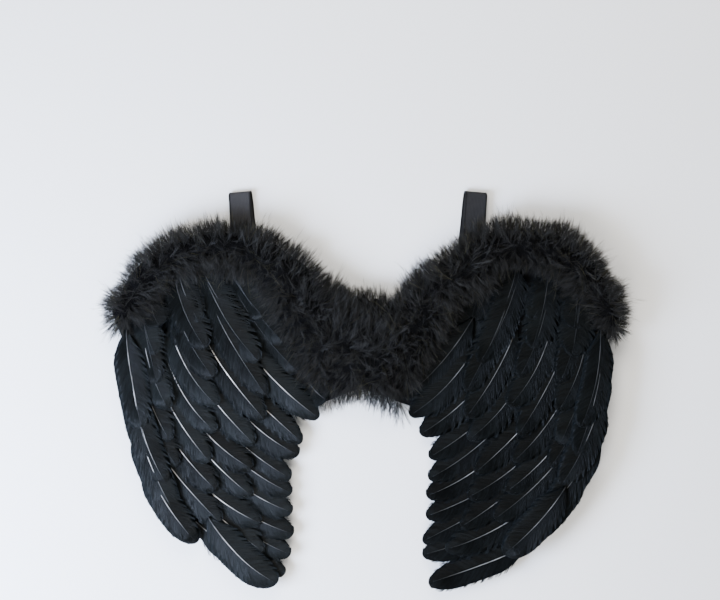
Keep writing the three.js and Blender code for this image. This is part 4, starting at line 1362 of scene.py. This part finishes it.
# The elastic's cross-section: share across, share of its thickness. Its selvedges are fuller.
STRAP_EDGE = [
    (-1, 0),
    (-0.985, -0.42),
    (-0.94, -0.5),
    (-0.88, -0.4),
    (0, -0.4),
    (0.88, -0.4),
    (0.94, -0.5),
    (0.985, -0.42),
    (1, 0),
    (0.985, 0.42),
    (0.94, 0.5),
    (0.88, 0.4),
    (0, 0.4),
    (-0.88, 0.4),
    (-0.94, 0.5),
    (-0.985, 0.42),
]


def strap_mesh(name, sign):
    places, maps = [], []
    run, before = 0.0, None
    path = strap_path()
    for inward, along, up, tilt in path:
        x = STRAP_SHIFT + sign * (STRAP_SPACING / 2 - inward)
        here = np.array([x, LOOP_TOP - along, up])
        run += 0 if before is None else float(np.linalg.norm(here - before))
        before = here
        # The loop hangs a little crooked, lower at its outer edge.
        crooked = 1.1 * math.exp(-max(0, along - 2) / 18)
        for a, b in STRAP_EDGE:
            lower_by = crooked * (1 - sign * -a)
            y = LOOP_TOP - along - lower_by + b * math.sin(tilt) * STRAP_THICK
            z = up + b * math.cos(tilt) * STRAP_THICK
            places.append(placed(x + a * STRAP_WIDTH / 2, y, z))
            maps.append((a * STRAP_WIDTH / 2 * MM, run * MM))
    faces = tube_faces(len(path), len(STRAP_EDGE))
    mesh = new_mesh(name, places, [], faces, {"tone_and_shade": [PAINTED_STRAP_SHADE[sign]] * len(places)})
    layer = mesh.uv_layers.new(name="run")
    for loop in mesh.loops:
        layer.data[loop.index].uv = maps[loop.vertex_index]
    mesh.materials.append(ELASTIC)
    face_outwards(mesh)
    return mesh


for side in ("left", "right"):
    node = side + "_shoulder_strap"
    piece = mesh_object(node + "_elastic", strap_mesh(node + "_elastic", SIGN[side]))
    for face in piece.data.polygons:
        face.use_smooth = True
    finished(piece, "elastic", node)


# Panels

def panel_outline(side):
    """The outline of one wing's panel, hidden under the trim and clear of the feather edges."""
    sign = SIGN[side]
    rows = TRIM_SECTIONS[side]
    line = []
    for k in range(len(rows)):
        far, near = trim_at(rows, sign, k)
        line.append(near + (far - near) * PANEL_TRIM_SHARE)
    far, near = trim_at(CENTRE_TRIM, 1, 1)
    centre_top = mix(near[1], far[1], PANEL_TRIM_SHARE)
    line.append(np.array([sign * CENTRE_GAP / 2, centre_top]))
    line.append(np.array([sign * CENTRE_GAP / 2, BRIDGE_BOTTOM * WING_DROP]))
    tip_level = PANEL_TIP_MARGIN / WING_DROP
    for level in (0.48, 0.39, 0.3, 0.21, tip_level):
        inner = wing_at(side, level)[0]
        line.append(np.array([sign * (inner + PANEL_INNER_MARGIN), level * WING_DROP]))
    for level in (tip_level, 0.21, 0.3, 0.39, 0.48, 0.57, 0.66):
        outer = wing_at(side, level)[1]
        line.append(np.array([sign * (outer - PANEL_OUTER_MARGIN), level * WING_DROP]))
    return line if side == "right" else line[::-1]


def joining_outline():
    line = []
    for turn, (x, y) in enumerate(((1, 1), (-1, 1), (-1, -1), (1, -1))):
        for step in range(7):
            angle = math.pi / 2 * (turn + step / 6)
            line.append(
                np.array(
                    [
                        x * (JOIN_WIDTH / 2 - JOIN_CORNER) + JOIN_CORNER * math.cos(angle),
                        y * (JOIN_HEIGHT / 2 - JOIN_CORNER) + JOIN_CORNER * math.sin(angle),
                    ]
                )
            )
    return [point + np.array([0, JOIN_LEVEL * WING_DROP]) for point in line]


def drawn_inwards(line, distance):
    """A closed anticlockwise outline moved inwards."""
    moved = []
    for k, point in enumerate(line):
        ahead = line[(k + 1) % len(line)] - point
        behind = point - line[k - 1]
        ways = [np.array([-d[1], d[0]]) / max(1e-6, np.linalg.norm(d)) for d in (ahead, behind)]
        way = ways[0] + ways[1]
        moved.append(point + way * distance / max(0.6, float(way @ way) / 2))
    return moved


def evenly(line, spacing):
    """The same closed outline with points at an even spacing, its corners slightly eased."""
    laps = [0.0]
    closed = [*line, line[0]]
    for a, b in zip(closed, closed[1:]):
        laps.append(laps[-1] + float(np.linalg.norm(b - a)))
    count = max(12, round(laps[-1] / spacing))
    marks = np.linspace(0, laps[-1], count, endpoint=False)
    columns = [np.interp(marks, laps, [p[axis] for p in closed]) for axis in (0, 1)]
    eased = [(np.roll(c, 1) + 2 * c + np.roll(c, -1)) / 4 for c in columns]
    return [np.array([x, y]) for x, y in zip(*eased)]


# How far in from the outline, in half thicknesses, and the share of the thickness.
FELT_PROFILE = [
    (1.1, 0),
    (0.4, 0.12),
    (0.08, 0.35),
    (0.0, 0.6),
    (0.15, 0.85),
    (0.6, 0.97),
    (1.4, 1),
]


def felt_sheet(name, line, low, thick):
    """A sheet of felt with soft rounded edges."""
    line = evenly(line, 2.5)
    places = []
    for inset, up in FELT_PROFILE:
        for x, y in drawn_inwards(line, inset * thick / 2):
            places.append(placed(x, y, low + up * thick))
    mesh = new_mesh(name, places, [], tube_faces(len(FELT_PROFILE), len(line)))
    mesh.materials.append(FELT)
    for face in mesh.polygons:
        face.use_smooth = len(face.vertices) == 4
    return mesh_object(name, mesh)


def stitch_tree():
    """Thread stitches at an even pitch along seam lines, half sunk into the cloth."""
    inputs = {
        "Pitch": "Float",
        "Stitch length": "Float",
        "Thread width": "Float",
        "Thread material": "Material",
    }
    tree, given = new_tree("running_stitch", inputs)
    seams = put(tree, "GeometryNodeMeshToCurve", (given["Geometry"],))
    marks = put(
        tree, "GeometryNodeCurveToPoints", {"Curve": seams, "Length": given["Pitch"]}, mode="LENGTH"
    )
    ball = put(tree, "GeometryNodeMeshUVSphere", {"Segments": 5, "Rings": 4, "Radius": 0.5})
    shape = put(tree, JOIN, (given["Thread width"], given["Thread width"], given["Stitch length"]))
    stitches = put(
        tree,
        INSTANCE,
        {
            "Points": marks.outputs["Points"],
            "Instance": ball,
            "Rotation": marks.outputs["Rotation"],
            "Scale": shape,
        },
    )
    stitches = put(tree, "GeometryNodeSetShadeSmooth", (stitches,))
    stitches = put(tree, REALIZE, (stitches,))
    stitches = put(tree, SET_MATERIAL, {0: stitches, "Material": given["Thread material"]})
    put(tree, "NodeGroupOutput", (stitches,))
    return tree


STITCHES = stitch_tree()


def sewn(name, seams, up):
    """Stitches along a few lines, each a list of points in plan and whether it is closed."""
    places, edges = [], []
    for line, is_closed in seams:
        first = len(places)
        places.extend(placed(x, y, up) for x, y in line)
        edges.extend((first + k, first + k + 1) for k in range(len(line) - 1))
        if is_closed:
            edges.append((len(places) - 1, first))
    mesh = new_mesh(name, places, edges, [])
    values = {
        "Pitch": 4.4 * MM,
        "Stitch length": 3.4 * MM,
        "Thread width": 0.75 * MM,
        "Thread material": THREAD,
    }
    return grow(name, mesh, STITCHES, values)


def strap_end_seams(sign, near_end, far_end):
    """A sewn box with a cross in it on a strap's end."""
    corners = []
    for along, across in ((near_end, -8), (near_end, 8), (far_end, 8), (far_end, -8)):
        inward = STRAP_UPPER_LEAN if along < 100 else STRAP_TWIST + STRAP_LEAN * along / STRAP_LOWER_RUN
        x = STRAP_SHIFT + sign * (STRAP_SPACING / 2 - inward) + across
        corners.append(np.array([x, LOOP_TOP - along]))
    return [(corners, True), ([corners[0], corners[2]], False), ([corners[1], corners[3]], False)]


for side in ("left", "right"):
    line = panel_outline(side)
    node = side + "_panel"
    finished(felt_sheet(node + "_felt", line, PANEL_BACK, PANEL_THICK), "felt", node)
    hem = drawn_inwards(evenly(line, 6), 6)
    finished(sewn(node + "_hem", [(hem, True)], PANEL_BACK), "felt")
    anchors = strap_end_seams(SIGN[side], 74, 89)
    anchors += strap_end_seams(SIGN[side], STRAP_LOWER_RUN - 20, STRAP_LOWER_RUN - 4)
    finished(sewn(side + "_strap_seams", anchors, STRIP_LOW), "elastic")
join = joining_outline()
join_low = PANEL_BACK - CLEARANCE - JOIN_THICK
finished(felt_sheet("joining_panel_felt", join, join_low, JOIN_THICK), "felt", "joining_panel")
finished(sewn("joining_panel_hem", [(drawn_inwards(evenly(join, 4), 5), True)], join_low), "felt")
